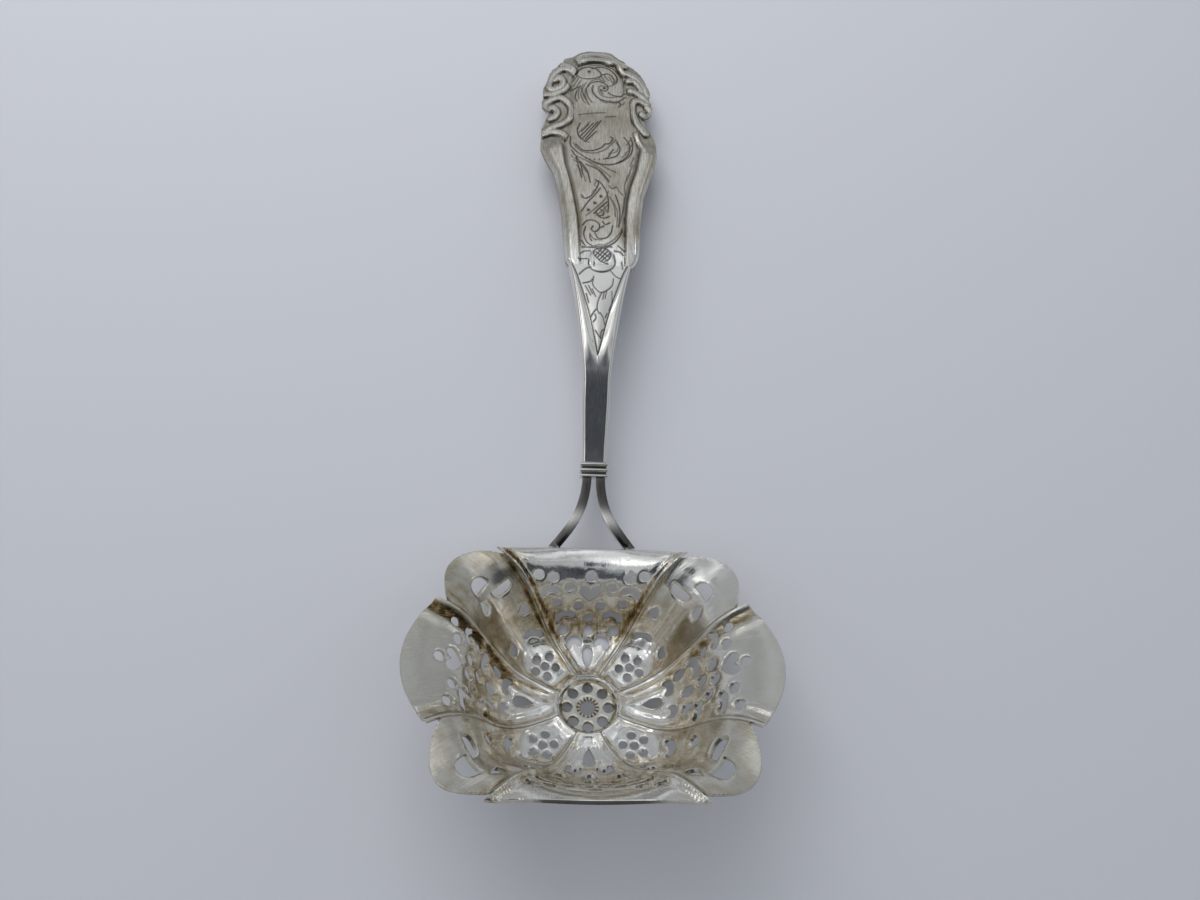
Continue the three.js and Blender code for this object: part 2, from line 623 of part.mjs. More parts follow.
const backRise = (y, v) => SHELL_EDGE + (BACK_BELLY - SHELL_EDGE) * Math.sqrt(1 - v * v) * endRound(y);

// A closed body between an upper and a lower height, inside the handle's outline by an inset.
function pillow(inset, upper, lower) {
  const rows = [];
  for (let i = 0; i <= HANDLE_STEPS; i++) {
    const y = lerp(inset, HANDLE_LENGTH - inset, i / HANDLE_STEPS);
    const left = halfWidth(leftOutline, y / HANDLE_LENGTH) - inset;
    const right = halfWidth(rightOutline, y / HANDLE_LENGTH) - inset;
    const top = [];
    const bottom = [];
    for (let j = 0; j <= ACROSS_STEPS; j++) {
      const v = -Math.cos((j * Math.PI) / ACROSS_STEPS);
      const x = v < 0 ? v * left : v * right;
      top.push(new THREE.Vector3(x, y, upper(y, v)));
      bottom.push(new THREE.Vector3(x, y, lower(y, v)));
    }
    rows.push([...top, ...bottom.reverse()]);
  }
  return toSolid(loft(rows, true));
}

function tangSlot() {
  const room = 2 * SEAT_GAP;
  const length = TANG_LENGTH + room;
  const slot = new THREE.BoxGeometry(TANG_WIDTH + room, length, TANG_THICKNESS + room);
  return toSolid(slot.translate(0, length / 2 - SEAT_GAP, 0));
}

function handleShell(rise, side) {
  const seam = SEAT_GAP / 2;
  const past = () => -side * SHELL_SHEET;
  const edge = () => side * seam;
  const outer = (y, v) => side * rise(y, v);
  const inner = (y, v) => side * (rise(y, v) - SHELL_SHEET);
  const [skin, hollow] = side > 0
    ? [pillow(0, outer, edge), pillow(SHELL_SHEET, inner, past)]
    : [pillow(0, edge, outer), pillow(SHELL_SHEET, past, inner)];
  return toGeometry(skin.subtract(hollow).subtract(tangSlot())).applyMatrix4(handlePlace);
}

function handleCore() {
  const inset = SHELL_SHEET + SEAT_GAP;
  const room = (rise) => (y, v) => Math.max(rise(y, v) - inset, SEAT_GAP / 3);
  const back = room(backRise);
  const solid = pillow(inset, room(frontRise), (y, v) => -back(y, v));
  return toGeometry(solid.subtract(tangSlot())).applyMatrix4(handlePlace);
}

function handleBackShell() {
  return toGeometry(cutAtFloor(toSolid(handleShell(backRise, -1))));
}

// Assembly, with the origin at the middle of the spoon's box, on the plane that it lies on

const silver = new THREE.MeshStandardMaterial({ color: 0xc9c5ba, roughness: 0.25, metalness: 1 });
const darkSilver = new THREE.MeshStandardMaterial({ color: 0x9a958a, roughness: 0.35, metalness: 1 });
const pitch = new THREE.MeshStandardMaterial({ color: 0x4b3a2b, roughness: 0.9, metalness: 0 });

function named(name, geometry, material) {
  const mesh = new THREE.Mesh(geometry, material);
  mesh.name = name;
  return mesh;
}

const spoon = new THREE.Group();
spoon.add(
  named("pierced_bowl", piercedBowl(), silver),
  named("left_prong", prong(-1), darkSilver),
  named("right_prong", prong(1), darkSilver),
  named("stem_collar", stemCollar(), darkSilver),
  named("stem_bar", stemBar(), darkSilver),
  named("handle_front_shell", handleShell(frontRise, 1), silver),
  named("handle_back_shell", handleBackShell(), silver),
  named("handle_core", handleCore(), pitch),
);
const box = new THREE.Box3().setFromObject(spoon);
const middle = box.getCenter(new THREE.Vector3());
spoon.position.set(-middle.x, -middle.y, -box.min.z);

export default spoon;
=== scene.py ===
# An old silver sugar sifter spoon: pierced bowl of eight lobes, forked stem, stamped handle.
# Shapes are worked out in millimetres in the spoon's own frame, with the middle of the boss at its
# origin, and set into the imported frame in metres.
import math

import bmesh
import bpy
import numpy as np
from mathutils import Matrix, Vector
from mathutils.geometry import delaunay_2d_cdt


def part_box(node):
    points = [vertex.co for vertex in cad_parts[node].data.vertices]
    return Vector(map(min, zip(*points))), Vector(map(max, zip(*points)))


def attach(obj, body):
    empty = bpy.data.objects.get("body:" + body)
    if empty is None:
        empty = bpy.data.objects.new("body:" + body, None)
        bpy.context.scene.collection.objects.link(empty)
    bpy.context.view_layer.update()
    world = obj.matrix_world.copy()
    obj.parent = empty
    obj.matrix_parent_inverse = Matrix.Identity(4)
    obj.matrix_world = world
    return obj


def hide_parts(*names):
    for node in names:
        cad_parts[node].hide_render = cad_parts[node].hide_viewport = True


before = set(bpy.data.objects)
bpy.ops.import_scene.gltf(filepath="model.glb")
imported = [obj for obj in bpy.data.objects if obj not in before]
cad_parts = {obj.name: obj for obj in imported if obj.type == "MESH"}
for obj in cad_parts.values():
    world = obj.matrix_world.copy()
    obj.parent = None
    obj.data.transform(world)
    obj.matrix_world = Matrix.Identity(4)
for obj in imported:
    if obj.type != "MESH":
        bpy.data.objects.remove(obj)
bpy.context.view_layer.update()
MM = 0.001

# Bowl, as in the part's own driving dimensions
BOWL_SHEET = 0.8
BOWL_DEPTH = 22
BOWL_TILT = math.radians(32)
WALL_RADIUS = 21.7
WALL_SOFTNESS = 2.95
OVAL_ACROSS, OVAL_ALONG = 1.06, 0.96
RIDGE_BEND = 0.67
SMALL_LOBE_REACH = 0.91
LARGE_FLUTE, SMALL_FLUTE = 0.8, 2.15
FLUTE_START = 0.25
BOSS_RADIUS = 6.6
ROUND_HOLE, FLOWER_HOLE, FLOWER_PITCH, PETALS = 2.4, 1.9, 2.35, 5
BEAN = (4.6, 2.7)
NARROW_BEAN = 0.75
HEART = (5.0, 4.4)
DROP = (2.4, 4.6)
BOSS_HOLE, BOSS_HOLE_CIRCLE, BOSS_HOLES = 2.25, 4.4, 8
STAR_RADIUS, STAR_NOTCH, STAR_POINTS = 2.25, 0.66, 16

# Fork, collar, stem and handle
SEAT_GAP = 0.3
PRONG_WIDTH, PRONG_THICKNESS, FORK_SLIT = 2.1, 2.2, 0.8
FOOT_ACROSS, FOOT_START, FOOT_LENGTH_SHARE = 0.3, 0.99, 0.12
FORK_LENGTH, FORK_LIFT = 15.6, 0.3
COLLAR_LENGTH, COLLAR_RIDGES = 3.0, 3
STEM_LENGTH, STEM_WIDTH, STEM_THICKNESS = 43.0, 5.0, 2.4
SHOULDER_WIDTH, SHOULDER_THICKNESS, SHOULDER_RISE = 13.8, 4.2, 3.5
FLARE_START, FLARE_POWER = 0.4, 1.5
HANDLE_LENGTH, SHELL_SHEET, SHELL_EDGE = 59.2, 0.7, 0.7
RAIL_RISE, PANEL_RISE, BACK_BELLY, TIP_ROUNDING = 2.9, 2.1, 3.4, 7.0
REST_WEAR = 0.35


# A value read off a line of (place, value) pairs.
def along(pairs, place):
    at, value = zip(*pairs)
    return np.interp(place, at, value)


def held(value):
    return np.clip(value, 0, 1)


def eased(value, start, end):
    share = held((value - start) / (end - start))
    return share * share * (3 - 2 * share)


# A soft hump of height 1.
def hump(value, at, width):
    return np.exp(-((value - at) / width) ** 2)


def spun(radius, bearing):
    return np.stack([radius * np.cos(bearing), radius * np.sin(bearing)], -1)


def full_turn(steps):
    return np.arange(steps) * 2 * math.pi / steps


# Two axes, or the places along them, swung about the third.
def swung(first, second, angle):
    sin, cos = math.sin(angle), math.cos(angle)
    return first * cos + second * sin, second * cos - first * sin


# Bowl: ridges run from the boss to the rim, and a lobe is the patch between two of them

# Each ridge: its bearing at the boss, its bearing at the rim, and its reach
RIGHT_RIDGES = [(-20.7, -25.0, 33.9), (24.0, 21.5, 33.7), (72.0, 51.0, 32.0)]
FRONT_RIDGE = (-70.0, -55.4, 34.7)


def mirrored(ridge):
    return 180 - ridge[0], 180 - ridge[1], ridge[2]


def turned(ridge):
    return 360 + ridge[0], 360 + ridge[1], ridge[2]


RIDGES = RIGHT_RIDGES + [mirrored(r) for r in reversed(RIGHT_RIDGES)]
RIDGES += [mirrored(FRONT_RIDGE), turned(FRONT_RIDGE), turned(RIGHT_RIDGES[0])]
# Each lobe, from the right one round by the back: small or not, bow of its rim, end ridge's side
LOBE_KINDS = [
    (False, 6.1, 0), (True, 7.3, 1), (False, 1.5, 0), (True, 7.3, 0),
    (False, 6.1, 0), (True, 6.8, 1), (False, -1.5, 0), (True, 6.8, 0),
]
LOBES = [
    {"number": i, "small": small, "side": i % 4 == 0, "bow": bow, "end": end,
     "from": RIDGES[i], "to": RIDGES[i + 1]}
    for i, (small, bow, end) in enumerate(LOBE_KINDS)
]
BACK_LOBE, FRONT_LOBE = LOBES[2], LOBES[6]
RIGHT_NUMBERS, FRONT_SMALL_NUMBERS = (0, 1, 7), (5, 7)


def ridge_plan(ridge, share):
    start, end, reach = ridge
    share = np.asarray(share, float)
    bearing = np.radians(start + (end - start) * share ** RIDGE_BEND)
    return spun(BOSS_RADIUS + (reach - BOSS_RADIUS) * share, bearing)


def wall_rise(radius):
    return BOWL_DEPTH / (1 + np.exp((WALL_RADIUS - radius) / WALL_SOFTNESS))


def wall_height(x, y):
    return wall_rise(np.hypot(x / OVAL_ACROSS, y / OVAL_ALONG)) - wall_rise(BOSS_RADIUS)


def wall_normal(x, y):
    step = 0.05
    dx = (wall_height(x + step, y) - wall_height(x - step, y)) / (2 * step)
    dy = (wall_height(x, y + step) - wall_height(x, y - step)) / (2 * step)
    normal = np.stack([-dx, -dy, np.ones_like(dx)], -1)
    return normal / np.linalg.norm(normal, axis=-1, keepdims=True)


def lobe_reach(lobe):
    return SMALL_LOBE_REACH if lobe["small"] else 1.0


# Plan of a lobe: the patch bounded by two ridges, an arc of the boss and the bowed rim. Places on it
# are u, from its first ridge to its last, and t, from the boss to the rim.
def lobe_plan(lobe, u, t):
    u, t = np.broadcast_arrays(np.asarray(u, float), np.asarray(t, float))
    reach = lobe_reach(lobe)
    first, last = lobe["from"], lobe["to"]
    ends = [ridge_plan(ridge, share) for share in (0, reach) for ridge in (first, last)]
    boss = spun(BOSS_RADIUS, np.radians(first[0] + (last[0] - first[0]) * u))
    chord = ends[3] - ends[2]
    outward = np.array([chord[1], -chord[0]]) / np.linalg.norm(chord)
    across, out = u[..., None], t[..., None]
    rim = ends[2] + across * chord + 4 * across * (1 - across) * lobe["bow"] * outward
    sides = (1 - across) * ridge_plan(first, t * reach) + across * ridge_plan(last, t * reach)
    inner = (1 - across) * (1 - out) * ends[0] + across * (1 - out) * ends[1]
    outer = (1 - across) * out * ends[2] + across * out * ends[3]
    return sides + (1 - out) * boss + out * rim - inner - outer


def lobe_width(lobe, t):
    reach = lobe_reach(lobe)
    ends = ridge_plan(lobe["to"], t * reach) - ridge_plan(lobe["from"], t * reach)
    return np.linalg.norm(ends, axis=-1)


def from_end_ridge(lobe, u):
    return 1 - u if lobe["end"] else u


# Depth below the round crest of a ridge, by the distance from it. A side lobe has a wide trough with a
# sharp lower edge, the back and front lobes a narrow flat beside the crest and then a step down, and a
# small lobe a fine step beside its end ridge.
SIDE_TROUGH = [
    (0, 0), (0.25, 0.03), (0.5, 0.16), (0.72, 0.5), (0.95, 0.86), (1.3, 1.0), (2.0, 1.02), (2.45, 0.9),
    (2.7, 0.64), (2.95, 0.56), (3.4, 0.62), (4.2, 0.8)]
END_TROUGH = [
    (0, 0), (0.2, 0.03), (0.4, 0.14), (0.6, 0.42), (0.8, 0.52), (1.2, 0.54), (1.6, 0.56), (1.8, 0.66),
    (2.0, 0.88), (2.4, 0.92), (3.0, 0.8)]
END_STEP = [
    (0, 0), (0.22, 0.03), (0.42, 0.12), (0.6, 0.34), (0.85, 0.44), (1.2, 0.46), (2.0, 0.3), (3.0, 0.1)]
DOME_RISE, DOME_RADIUS = 1.15, 4.7
RIDGE_START, RIDGE_FULL = 0.11, 5.5  # share of a ridge, and width of a lobe, where its ridges are full
LEAST_SQUEEZE = 0.1
BY_BOSS = (0.2, 0.4)  # shares of a lobe between which what goes round the boss runs out
FLOWER_ALONG = 0.2


def flute(lobe, u, t):
    width = lobe_width(lobe, t)
    squeeze = np.clip(width / RIDGE_FULL, LEAST_SQUEEZE, 1)
    near = np.minimum(u, 1 - u) * width / squeeze
    fade, sharp = held(t / FLUTE_START), held(t / RIDGE_START)
    if lobe["small"]:
        gutter = 0.5 * (1 - (2 * u - 1) ** 2) + 0.5 * np.sin(math.pi * u) ** 2
        by_boss = along(END_STEP, near) * (1 - eased(t, *BY_BOSS))
        by_end = along(END_STEP, from_end_ridge(lobe, u) * width / squeeze)
        return fade * SMALL_FLUTE * gutter + sharp * np.maximum(by_end, by_boss)
    return sharp * along(SIDE_TROUGH if lobe["side"] else END_TROUGH, near)


def lobe_base(lobe, u, t):
    plan = lobe_plan(lobe, u, t)
    x, y = plan[..., 0], plan[..., 1]
    return np.stack([x, y, wall_height(x, y)], -1), wall_normal(x, y)


RIM_BAND, RIM_BULGE, BACK_LENGTH = 7.5, 1.9, 31.0
RING_RISE, RING_FADE = 0.4, 0.035  # the boss's ring runs out over this share of a lobe
SHELF_AT, SHELF_LENGTH, SHELF_RISE = 0.62, 0.12, 1.5


# The back lobe swells below its rim, so that the rim itself lies flatter, as a bright band, and a side
# lobe swells at the top of its wall, so that its outer part is a flat shelf.
def rim_bulge(lobe, u, t):
    middle = 1 - np.abs(2 * u - 1) ** 6
    if lobe["side"]:
        return SHELF_RISE * hump(t, SHELF_AT, SHELF_LENGTH) * middle
    if lobe is not BACK_LOBE:
        return np.zeros(np.shape(t))
    down = (1 - t) * BACK_LENGTH / RIM_BAND
    return RIM_BULGE * down * np.exp(0.5 * (1 - down ** 2)) * middle


# A point of a lobe's upper face in the bowl's frame, with the wall's normal there.
def lobe_surface(lobe, u, t):
    u, t = np.broadcast_arrays(np.asarray(u, float), np.asarray(t, float))
    base, normal = lobe_base(lobe, u, t)
    rise = rim_bulge(lobe, u, t) - flute(lobe, u, t) + RING_RISE * hump(t, 0, RING_FADE)
    if lobe["small"]:
        middle, _ = lobe_base(lobe, 0.5, FLOWER_ALONG)
        reach = np.linalg.norm(base - middle, axis=-1) / DOME_RADIUS
        rise = rise + DOME_RISE * held(1 - reach ** 2) ** 1.5
    return base + normal * rise[..., None], normal


# The lobe as the part's source has it, without ribs, which sets where the prongs sit.
def lobe_surface_plain(lobe, u, t):
    base, normal = lobe_base(lobe, u, t)
    depth = LARGE_FLUTE * held(t / FLUTE_START) * (1 - np.abs(2 * u - 1) ** 8)
    return base - normal * depth, normal


# Boss: sunk disc, and a round ring from which the lobes start
BOSS_AT = [0, 5.3, 5.5, 5.65, 5.8, 5.9, 6.0, 6.1, 6.2, 6.35, 6.5, 6.6]
BOSS_HEIGHT = [-0.95, -0.95, -0.9, -0.78, -0.56, -0.36, -0.14, 0.06, 0.21, 0.35, 0.4, 0.4]


def tilted(points):
    y, z = swung(points[..., 1], points[..., 2], BOWL_TILT)
    return np.stack([points[..., 0], y, z], -1)


def foot_seat(share, raised=0.0):
    point, normal = lobe_surface_plain(BACK_LOBE, FOOT_ACROSS, share)
    depth = BOWL_SHEET + SEAT_GAP + PRONG_THICKNESS / 2
    return tilted(point - normal * (depth - raised))


RIM_END = foot_seat(FOOT_START)
COLLAR_Y = RIM_END[1] + FORK_LENGTH
STEM_Y = COLLAR_Y + COLLAR_LENGTH + SEAT_GAP
SHOULDER_Y = STEM_Y + STEM_LENGTH

# The spoon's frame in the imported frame: the collar gives Y, and the bowl's highest corner gives Z.
front_corner = tilted(lobe_surface_plain(FRONT_LOBE, 0.0, 1.0)[0])
ORIGIN = np.array([
    0.0,
    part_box("stem_collar")[0].y / MM - COLLAR_Y,
    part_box("pierced_bowl")[1].z / MM - front_corner[2],
])
FLOOR_HEIGHT = -ORIGIN[2]


# Nothing reaches below the floor: the undersides are worn flat there.
def resting(points):
    points[..., 2] = np.maximum(points[..., 2], FLOOR_HEIGHT)
    return points


# Camera: the photograph's view, fitted to the bowl's ridges and rims. Angles in degrees, pixels of the
# 1200 x 900 picture, and millimetres to a pixel at the boss.
PICTURE_WIDTH, PICTURE_HEIGHT = 1200, 900
FOCAL_PIXELS = 930
ELEVATION, YAW, ROLL = math.radians(80), math.radians(4.23), math.radians(2.0)
BOSS_PIXEL = (588, 705)
BOSS_SCALE = 0.21
SENSOR = 36


def place_camera():
    right = np.array([1.0, 0, 0])
    ahead = np.array([0, math.cos(ELEVATION), -math.sin(ELEVATION)])
    up = np.cross(right, ahead)
    right, ahead = swung(right, ahead, -YAW)
    right, up = swung(right, up, ROLL)
    across = (BOSS_PIXEL[0] - PICTURE_WIDTH / 2) * BOSS_SCALE
    rise = (PICTURE_HEIGHT / 2 - BOSS_PIXEL[1]) * BOSS_SCALE
    place = ORIGIN - right * across - up * rise - ahead * FOCAL_PIXELS * BOSS_SCALE
    data = bpy.data.cameras.new("photo_camera")
    data.sensor_width = SENSOR
    data.lens = SENSOR * FOCAL_PIXELS / PICTURE_WIDTH
    data.clip_start = 0.001
    camera = bpy.data.objects.new("photo_camera", data)
    bpy.context.collection.objects.link(camera)
    turn = Matrix([list(right), list(up), list(-ahead)]).transposed().to_4x4()
    camera.matrix_world = Matrix.Translation(Vector(place * MM)) @ turn
    bpy.context.scene.camera = camera


place_camera()


# Outlines of the holes: x across the lobe, y towards the rim

CURVE_STEPS = 6
ROUND_SIDES = 20


def drawn(start, *curves):
    points = [np.array(start, float)]
    for curve in curves:
        knots = [points[-1]] + [np.array(knot, float) for knot in curve]
        for step in range(1, CURVE_STEPS + 1):
            level = knots
            share = step / CURVE_STEPS
            while len(level) > 1:
                level = [a * (1 - share) + b * share for a, b in zip(level, level[1:])]
            points.append(level[0])
    return np.array(points[:-1])


def round_hole(diameter, x=0.0, y=0.0):
    return np.array([x, y]) + spun(diameter / 2, full_turn(ROUND_SIDES))


def bean_hole(width, height):
    w, h = width / 2, height / 2
    return drawn(
        (-w, -h * 0.5), [(-w, h), (0, h)], [(w, h), (w, -h * 0.5)],
        [(w * 0.75, -h * 1.4), (w * 0.4, -h * 0.6)], [(0, 0), (-w * 0.4, -h * 0.6)],
        [(-w * 0.75, -h * 1.4), (-w, -h * 0.5)])


def heart_hole(width, height):
    w, h = width / 2, height / 2
    return drawn(
        (0, -h), [(w * 0.8, -h * 0.3), (w, h * 0.3)], [(w, h * 1.25), (w * 0.2, h * 1.2), (0, h * 0.45)],
        [(-w * 0.2, h * 1.2), (-w, h * 1.25), (-w, h * 0.3)], [(-w * 0.8, -h * 0.3), (0, -h)])


def drop_hole(width, height):
    w, h = width / 2, height / 2
    return drawn(
        (0, -h), [(w, -h * 0.2), (w, h * 0.35)], [(w, h), (0, h)],
        [(-w, h), (-w, h * 0.35)], [(-w, -h * 0.2), (0, -h)])


# A half moon, flat towards the boss.
def moon_hole(width, height):
    w, h = width / 2, height / 2
    return drawn((-w, -h), [(0, -h * 0.9), (w, -h)], [(w * 1.1, h), (0, h)], [(-w * 1.1, h), (-w, -h)])


def star_hole(radius, points):
    reach = np.where(np.arange(2 * points) % 2, radius * STAR_NOTCH, radius)
    return spun(reach, full_turn(2 * points))


ROUND, WIDE_BEAN, WIDE_HEART = round_hole(ROUND_HOLE), bean_hole(*BEAN), heart_hole(*HEART)
SHORT_BEAN, LONG_DROP = bean_hole(BEAN[0] * NARROW_BEAN, BEAN[1]), drop_hole(*DROP)

# A large lobe from the boss to the rim: outline, place along the wall, places each side of the middle.
LARGE_PATTERN = [
    (LONG_DROP, 0.2, [0]), (SHORT_BEAN, 0.335, [0.21]), (ROUND, 0.425, [0, 0.31]),
    (WIDE_BEAN, 0.525, [0.245]), (ROUND, 0.515, [0]), (ROUND, 0.6, [0.1, 0.3]),
    (WIDE_BEAN, 0.665, [0.335]), (WIDE_HEART, 0.68, [0]), (ROUND, 0.715, [0.165]),
    (ROUND, 0.76, [0.275, 0.38]), (ROUND, 0.79, [0]),
]
# The side lobes: outline, place along the wall, places from the middle towards the back ridge. On the
# steep part of their walls the holes are longer, as raising the bowl has stretched the sheet there.
STEEP, STEEPEST = np.array([1.0, 1.35]), np.array([1.0, 1.55])
SIDE_PATTERN = [
    (LONG_DROP, 0.22, [0]), (SHORT_BEAN, 0.345, [-0.22, 0.21]),
    (ROUND * STEEPEST, 0.43, [-0.225, 0.02, 0.3]), (WIDE_BEAN * STEEPEST, 0.517, [-0.35, 0.25]),
    (ROUND * STEEPEST, 0.52, [0.02]), (ROUND * STEEP, 0.57, [-0.245]),
    (ROUND * STEEP, 0.595, [-0.09, 0.1, 0.3]), (WIDE_BEAN, 0.67, [-0.385, 0.335]),
    (WIDE_HEART, 0.672, [0]), (ROUND, 0.7, [-0.26, 0.225]),
    (ROUND, 0.768, [-0.41, 0.365]), (ROUND, 0.754, [0]),
]
SIDE_MIDDLE = 0.545
# A small lobe: outline, place along, place across from its front ridge to its back ridge, turn.
SMALL_PATTERN = [
    (bean_hole(BEAN[0], BEAN[1] * NARROW_BEAN), 0.395, 0.75, 25),
    (moon_hole(2.7, 2.3), 0.395, 0.26, 170),
    (drop_hole(DROP[0] * 1.04, DROP[1] * 0.67), 0.53, 0.8, 180),
    (drop_hole(DROP[0] * 0.95, DROP[1] * 0.8), 0.64, 0.24, 180),
    (moon_hole(4.8, 2.5), 0.62, 0.64, 175),
    (moon_hole(4.3, 2.9), 0.725, 0.39, 0),
]
# The front small lobes, which lean out more, have it nearer to the rim.
FRONT_SMALL_PATTERN = [
    (bean_hole(BEAN[0], BEAN[1] * 1.15), 0.4, 0.75, 25),
    (moon_hole(2.7, 2.3), 0.4, 0.26, 170),
    (drop_hole(DROP[0] * 1.25, DROP[1] * 0.8), 0.55, 0.79, 180),
    (drop_hole(DROP[0], DROP[1] * 0.8), 0.725, 0.2, 180),
    (moon_hole(5.0, 3.0), 0.68, 0.67, 175),
    (moon_hole(5.2, 3.4), 0.805, 0.43, 0),
]


# The holes of a lobe: outline, place across, place along, turn.
def lobe_holes(lobe):
    on_right = lobe["number"] in RIGHT_NUMBERS
    if lobe["side"]:
        to_back = 1 if on_right else -1
        for outline, place, offsets in SIDE_PATTERN:
            for offset in offsets:
                yield outline, 0.5 + to_back * (SIDE_MIDDLE - 0.5 + offset), place, 0
        return
    if not lobe["small"]:
        for outline, place, offsets in LARGE_PATTERN:
            for offset in offsets:
                for side in ([-1, 1] if offset else [1]):
                    yield outline, 0.5 + side * offset, place, 0
        return
    pattern = FRONT_SMALL_PATTERN if lobe["number"] in FRONT_SMALL_NUMBERS else SMALL_PATTERN
    for outline, place, across, turn in pattern:
        yield outline, across if on_right else 1 - across, place, turn if on_right else -turn
    for i in range(PETALS + 1):
        bearing = i * 2 * math.pi / PETALS
        pitch = FLOWER_PITCH if i else 0
        petal = round_hole(FLOWER_HOLE, pitch * math.sin(bearing), pitch * math.cos(bearing))
        yield petal, 0.5, FLOWER_ALONG, 0


def slopes(lobe, u, t):
    step = 0.004
    by_u = (lobe_surface(lobe, u + step, t)[0] - lobe_surface(lobe, u - step, t)[0]) / (2 * step)
    by_t = (lobe_surface(lobe, u, t + step)[0] - lobe_surface(lobe, u, t - step)[0]) / (2 * step)
    return by_u, by_t


LAYING_ROUNDS = 4


# Lays a flat outline on a lobe, and gives its places across and along, which each round brings closer.
def laid(lobe, outline, u, t, turn):
    turn = math.radians(turn)
    flat = outline @ np.array([[math.cos(turn), math.sin(turn)], [-math.sin(turn), math.cos(turn)]])
    by_u, by_t = slopes(lobe, np.array([u]), np.array([t]))
    outward = by_t[0] / np.linalg.norm(by_t[0])
    across = -by_u[0] + outward * np.dot(by_u[0], outward)
    across /= np.linalg.norm(across)
    middle = lobe_surface(lobe, u, t)[0]
    target = middle + flat[:, :1] * across + flat[:, 1:] * outward
    places = np.tile([u, t], (len(flat), 1)).astype(float)
    for _ in range(LAYING_ROUNDS):
        by_u, by_t = slopes(lobe, places[:, 0], places[:, 1])
        error = target - lobe_surface(lobe, places[:, 0], places[:, 1])[0]
        uu, ut, tt = (by_u * by_u).sum(1), (by_u * by_t).sum(1), (by_t * by_t).sum(1)
        eu, et = (error * by_u).sum(1), (error * by_t).sum(1)
        span = uu * tt - ut * ut
        places += np.stack([(eu * tt - et * ut) / span, (et * uu - eu * ut) / span], -1)
    return places


def grown(outline, rim):
    ahead = np.roll(outline, -1, 0) - np.roll(outline, 1, 0)
    normal = np.stack([ahead[:, 1], -ahead[:, 0]], -1) / np.linalg.norm(ahead, axis=1, keepdims=True)
    area = np.sum(outline[:, 0] * np.roll(outline[:, 1], -1) - outline[:, 1] * np.roll(outline[:, 0], -1))
    return outline + normal * (rim if area > 0 else -rim)


def inside(polygon, points):
    x, y = points[:, 0], points[:, 1]
    within = np.zeros(len(points), bool)
    for (ax, ay), (bx, by) in zip(polygon, np.roll(polygon, -1, 0)):
        crosses = (ay > y) != (by > y)
        if ay != by:
            within ^= crosses & (x < (bx - ax) * (y - ay) / (by - ay) + ax)
    return within


# Distance of each point from an outline's nearest corner, a part of the points at a time.
def corner_gaps(outline, points):
    parts = np.array_split(points, 16)
    return np.concatenate([np.linalg.norm(part[:, None] - outline, axis=2).min(1) for part in parts])


def clear_of(outlines, points, gap):
    clear = np.ones(len(points), bool)
    for outline in outlines:
        clear &= (corner_gaps(outline, points) > gap) & ~inside(outline, points)
    return clear


# Triangles between the points of a plan, facing up: over all of it, or only within its edges.
def triangulated(plan, edges, within_edges, merge):
    found = delaunay_2d_cdt([Vector(p) for p in plan], edges, [], int(within_edges), merge)
    source = np.array([ids[0] if ids else -1 for ids in found[3]])
    faces = np.array([[source[i] for i in face] for face in found[2]])
    faces = faces[(faces >= 0).all(1)]
    a, b, c = (plan[faces[:, k]] for k in range(3))
    turn = (b[:, 0] - a[:, 0]) * (c[:, 1] - a[:, 1]) - (b[:, 1] - a[:, 1]) * (c[:, 0] - a[:, 0])
    faces[turn < 0] = faces[turn < 0][:, ::-1]
    return faces


GRID, RIM_GRID = 0.6, 0.5  # spacing of the bowl's points, and along its rims
CREST_FINENESS = 1.3  # a ridge's crest has this many times the points
CREST_END_STEPS, BOSS_ARC_STEPS, BOSS_RING_STEPS = 6, 9, 96
EDGE_ROUND = 0.16  # width of the rounding at holes and rims
EDGE_DROP = 0.1
HOLE_CLEAR, BOSS_HOLE_CLEAR = 0.4, 0.25  # no other point lies nearer to a hole
NEAR_RIDGE = [0.22, 0.42, 0.6, 0.78, 0.95, 1.3, 1.65, 1.85, 2.0, 2.45, 2.7, 2.95, 3.4]
NEAR_SHARE = 0.42  # of a lobe's width, which these don't pass
DISC_RINGS = [2.5, 3.0, 3.5, 4.0, 4.5]
LAY_LENGTH = 30.0  # of a lobe, for the lay of its polish
LAY_STEP, BOSS_LAY = 40.0, 400.0  # from lobe to lobe, so that their streaks differ
DISC_SATIN, DISC_EDGE = 0.5, 5.6
# The last two are painted shade on the edges of the boss's holes and of its star.
DISC_FILM, DISC_EDGE_FILM, HOLE_PAINTED_SHADE, STAR_PAINTED_SHADE = 0.03, 0.45, 0.45, 0.4
STAR_START, STAR_END = 1.3, 2.2  # radii between which the painted shade on the star's edge darkens
UNDER_FILM_AND_SHADE, UNDER_SHARE = 0.3, 0.5  # film under the bowl, partly painted shade that darkens the hole walls, and the share of the film above it

# For each lobe: film on its pierced wall and on its outer part, and how dull its outer part is rubbed
MIDDLE_FILM = [0.2, 0.16, 0.5, 0.22, 0.28, 0.3, 0.25, 0.3]
OUTER_FILM = [0.03, 0.0, 0.0, 0.18, 0.06, 0.15, 0.06, 0.15]
OUTER_SATIN = [0.6, 0.3, 0.0, 0.7, 0.8, 0.6, 0.3, 0.75]
SIDE_FILM_END, END_FILM_END = 2.7, 1.9  # distance from a ridge where its trough's film ends
TROUGH_FILM, BY_TROUGH_FILM = 0.8, 0.16
# The second is a fine line of painted shadow beside a small lobe's end step.
SMALL_LOBE_FILM, END_STEP_PAINTED_SHADE = 0.2, 0.6
PETAL_FILM, BACK_CORNER_FILM, BACK_CORNER = 0.25, 0.5, 0.86
FILM_FULL = 8.0  # a lobe narrower than this has narrower film by its ridges
LEFT_FILM, LEFT_REACH = 0.3, 12.0  # film weakens by this from the left to the middle, and on to the right
INNER_FILM = 0.4  # share of the film by the boss
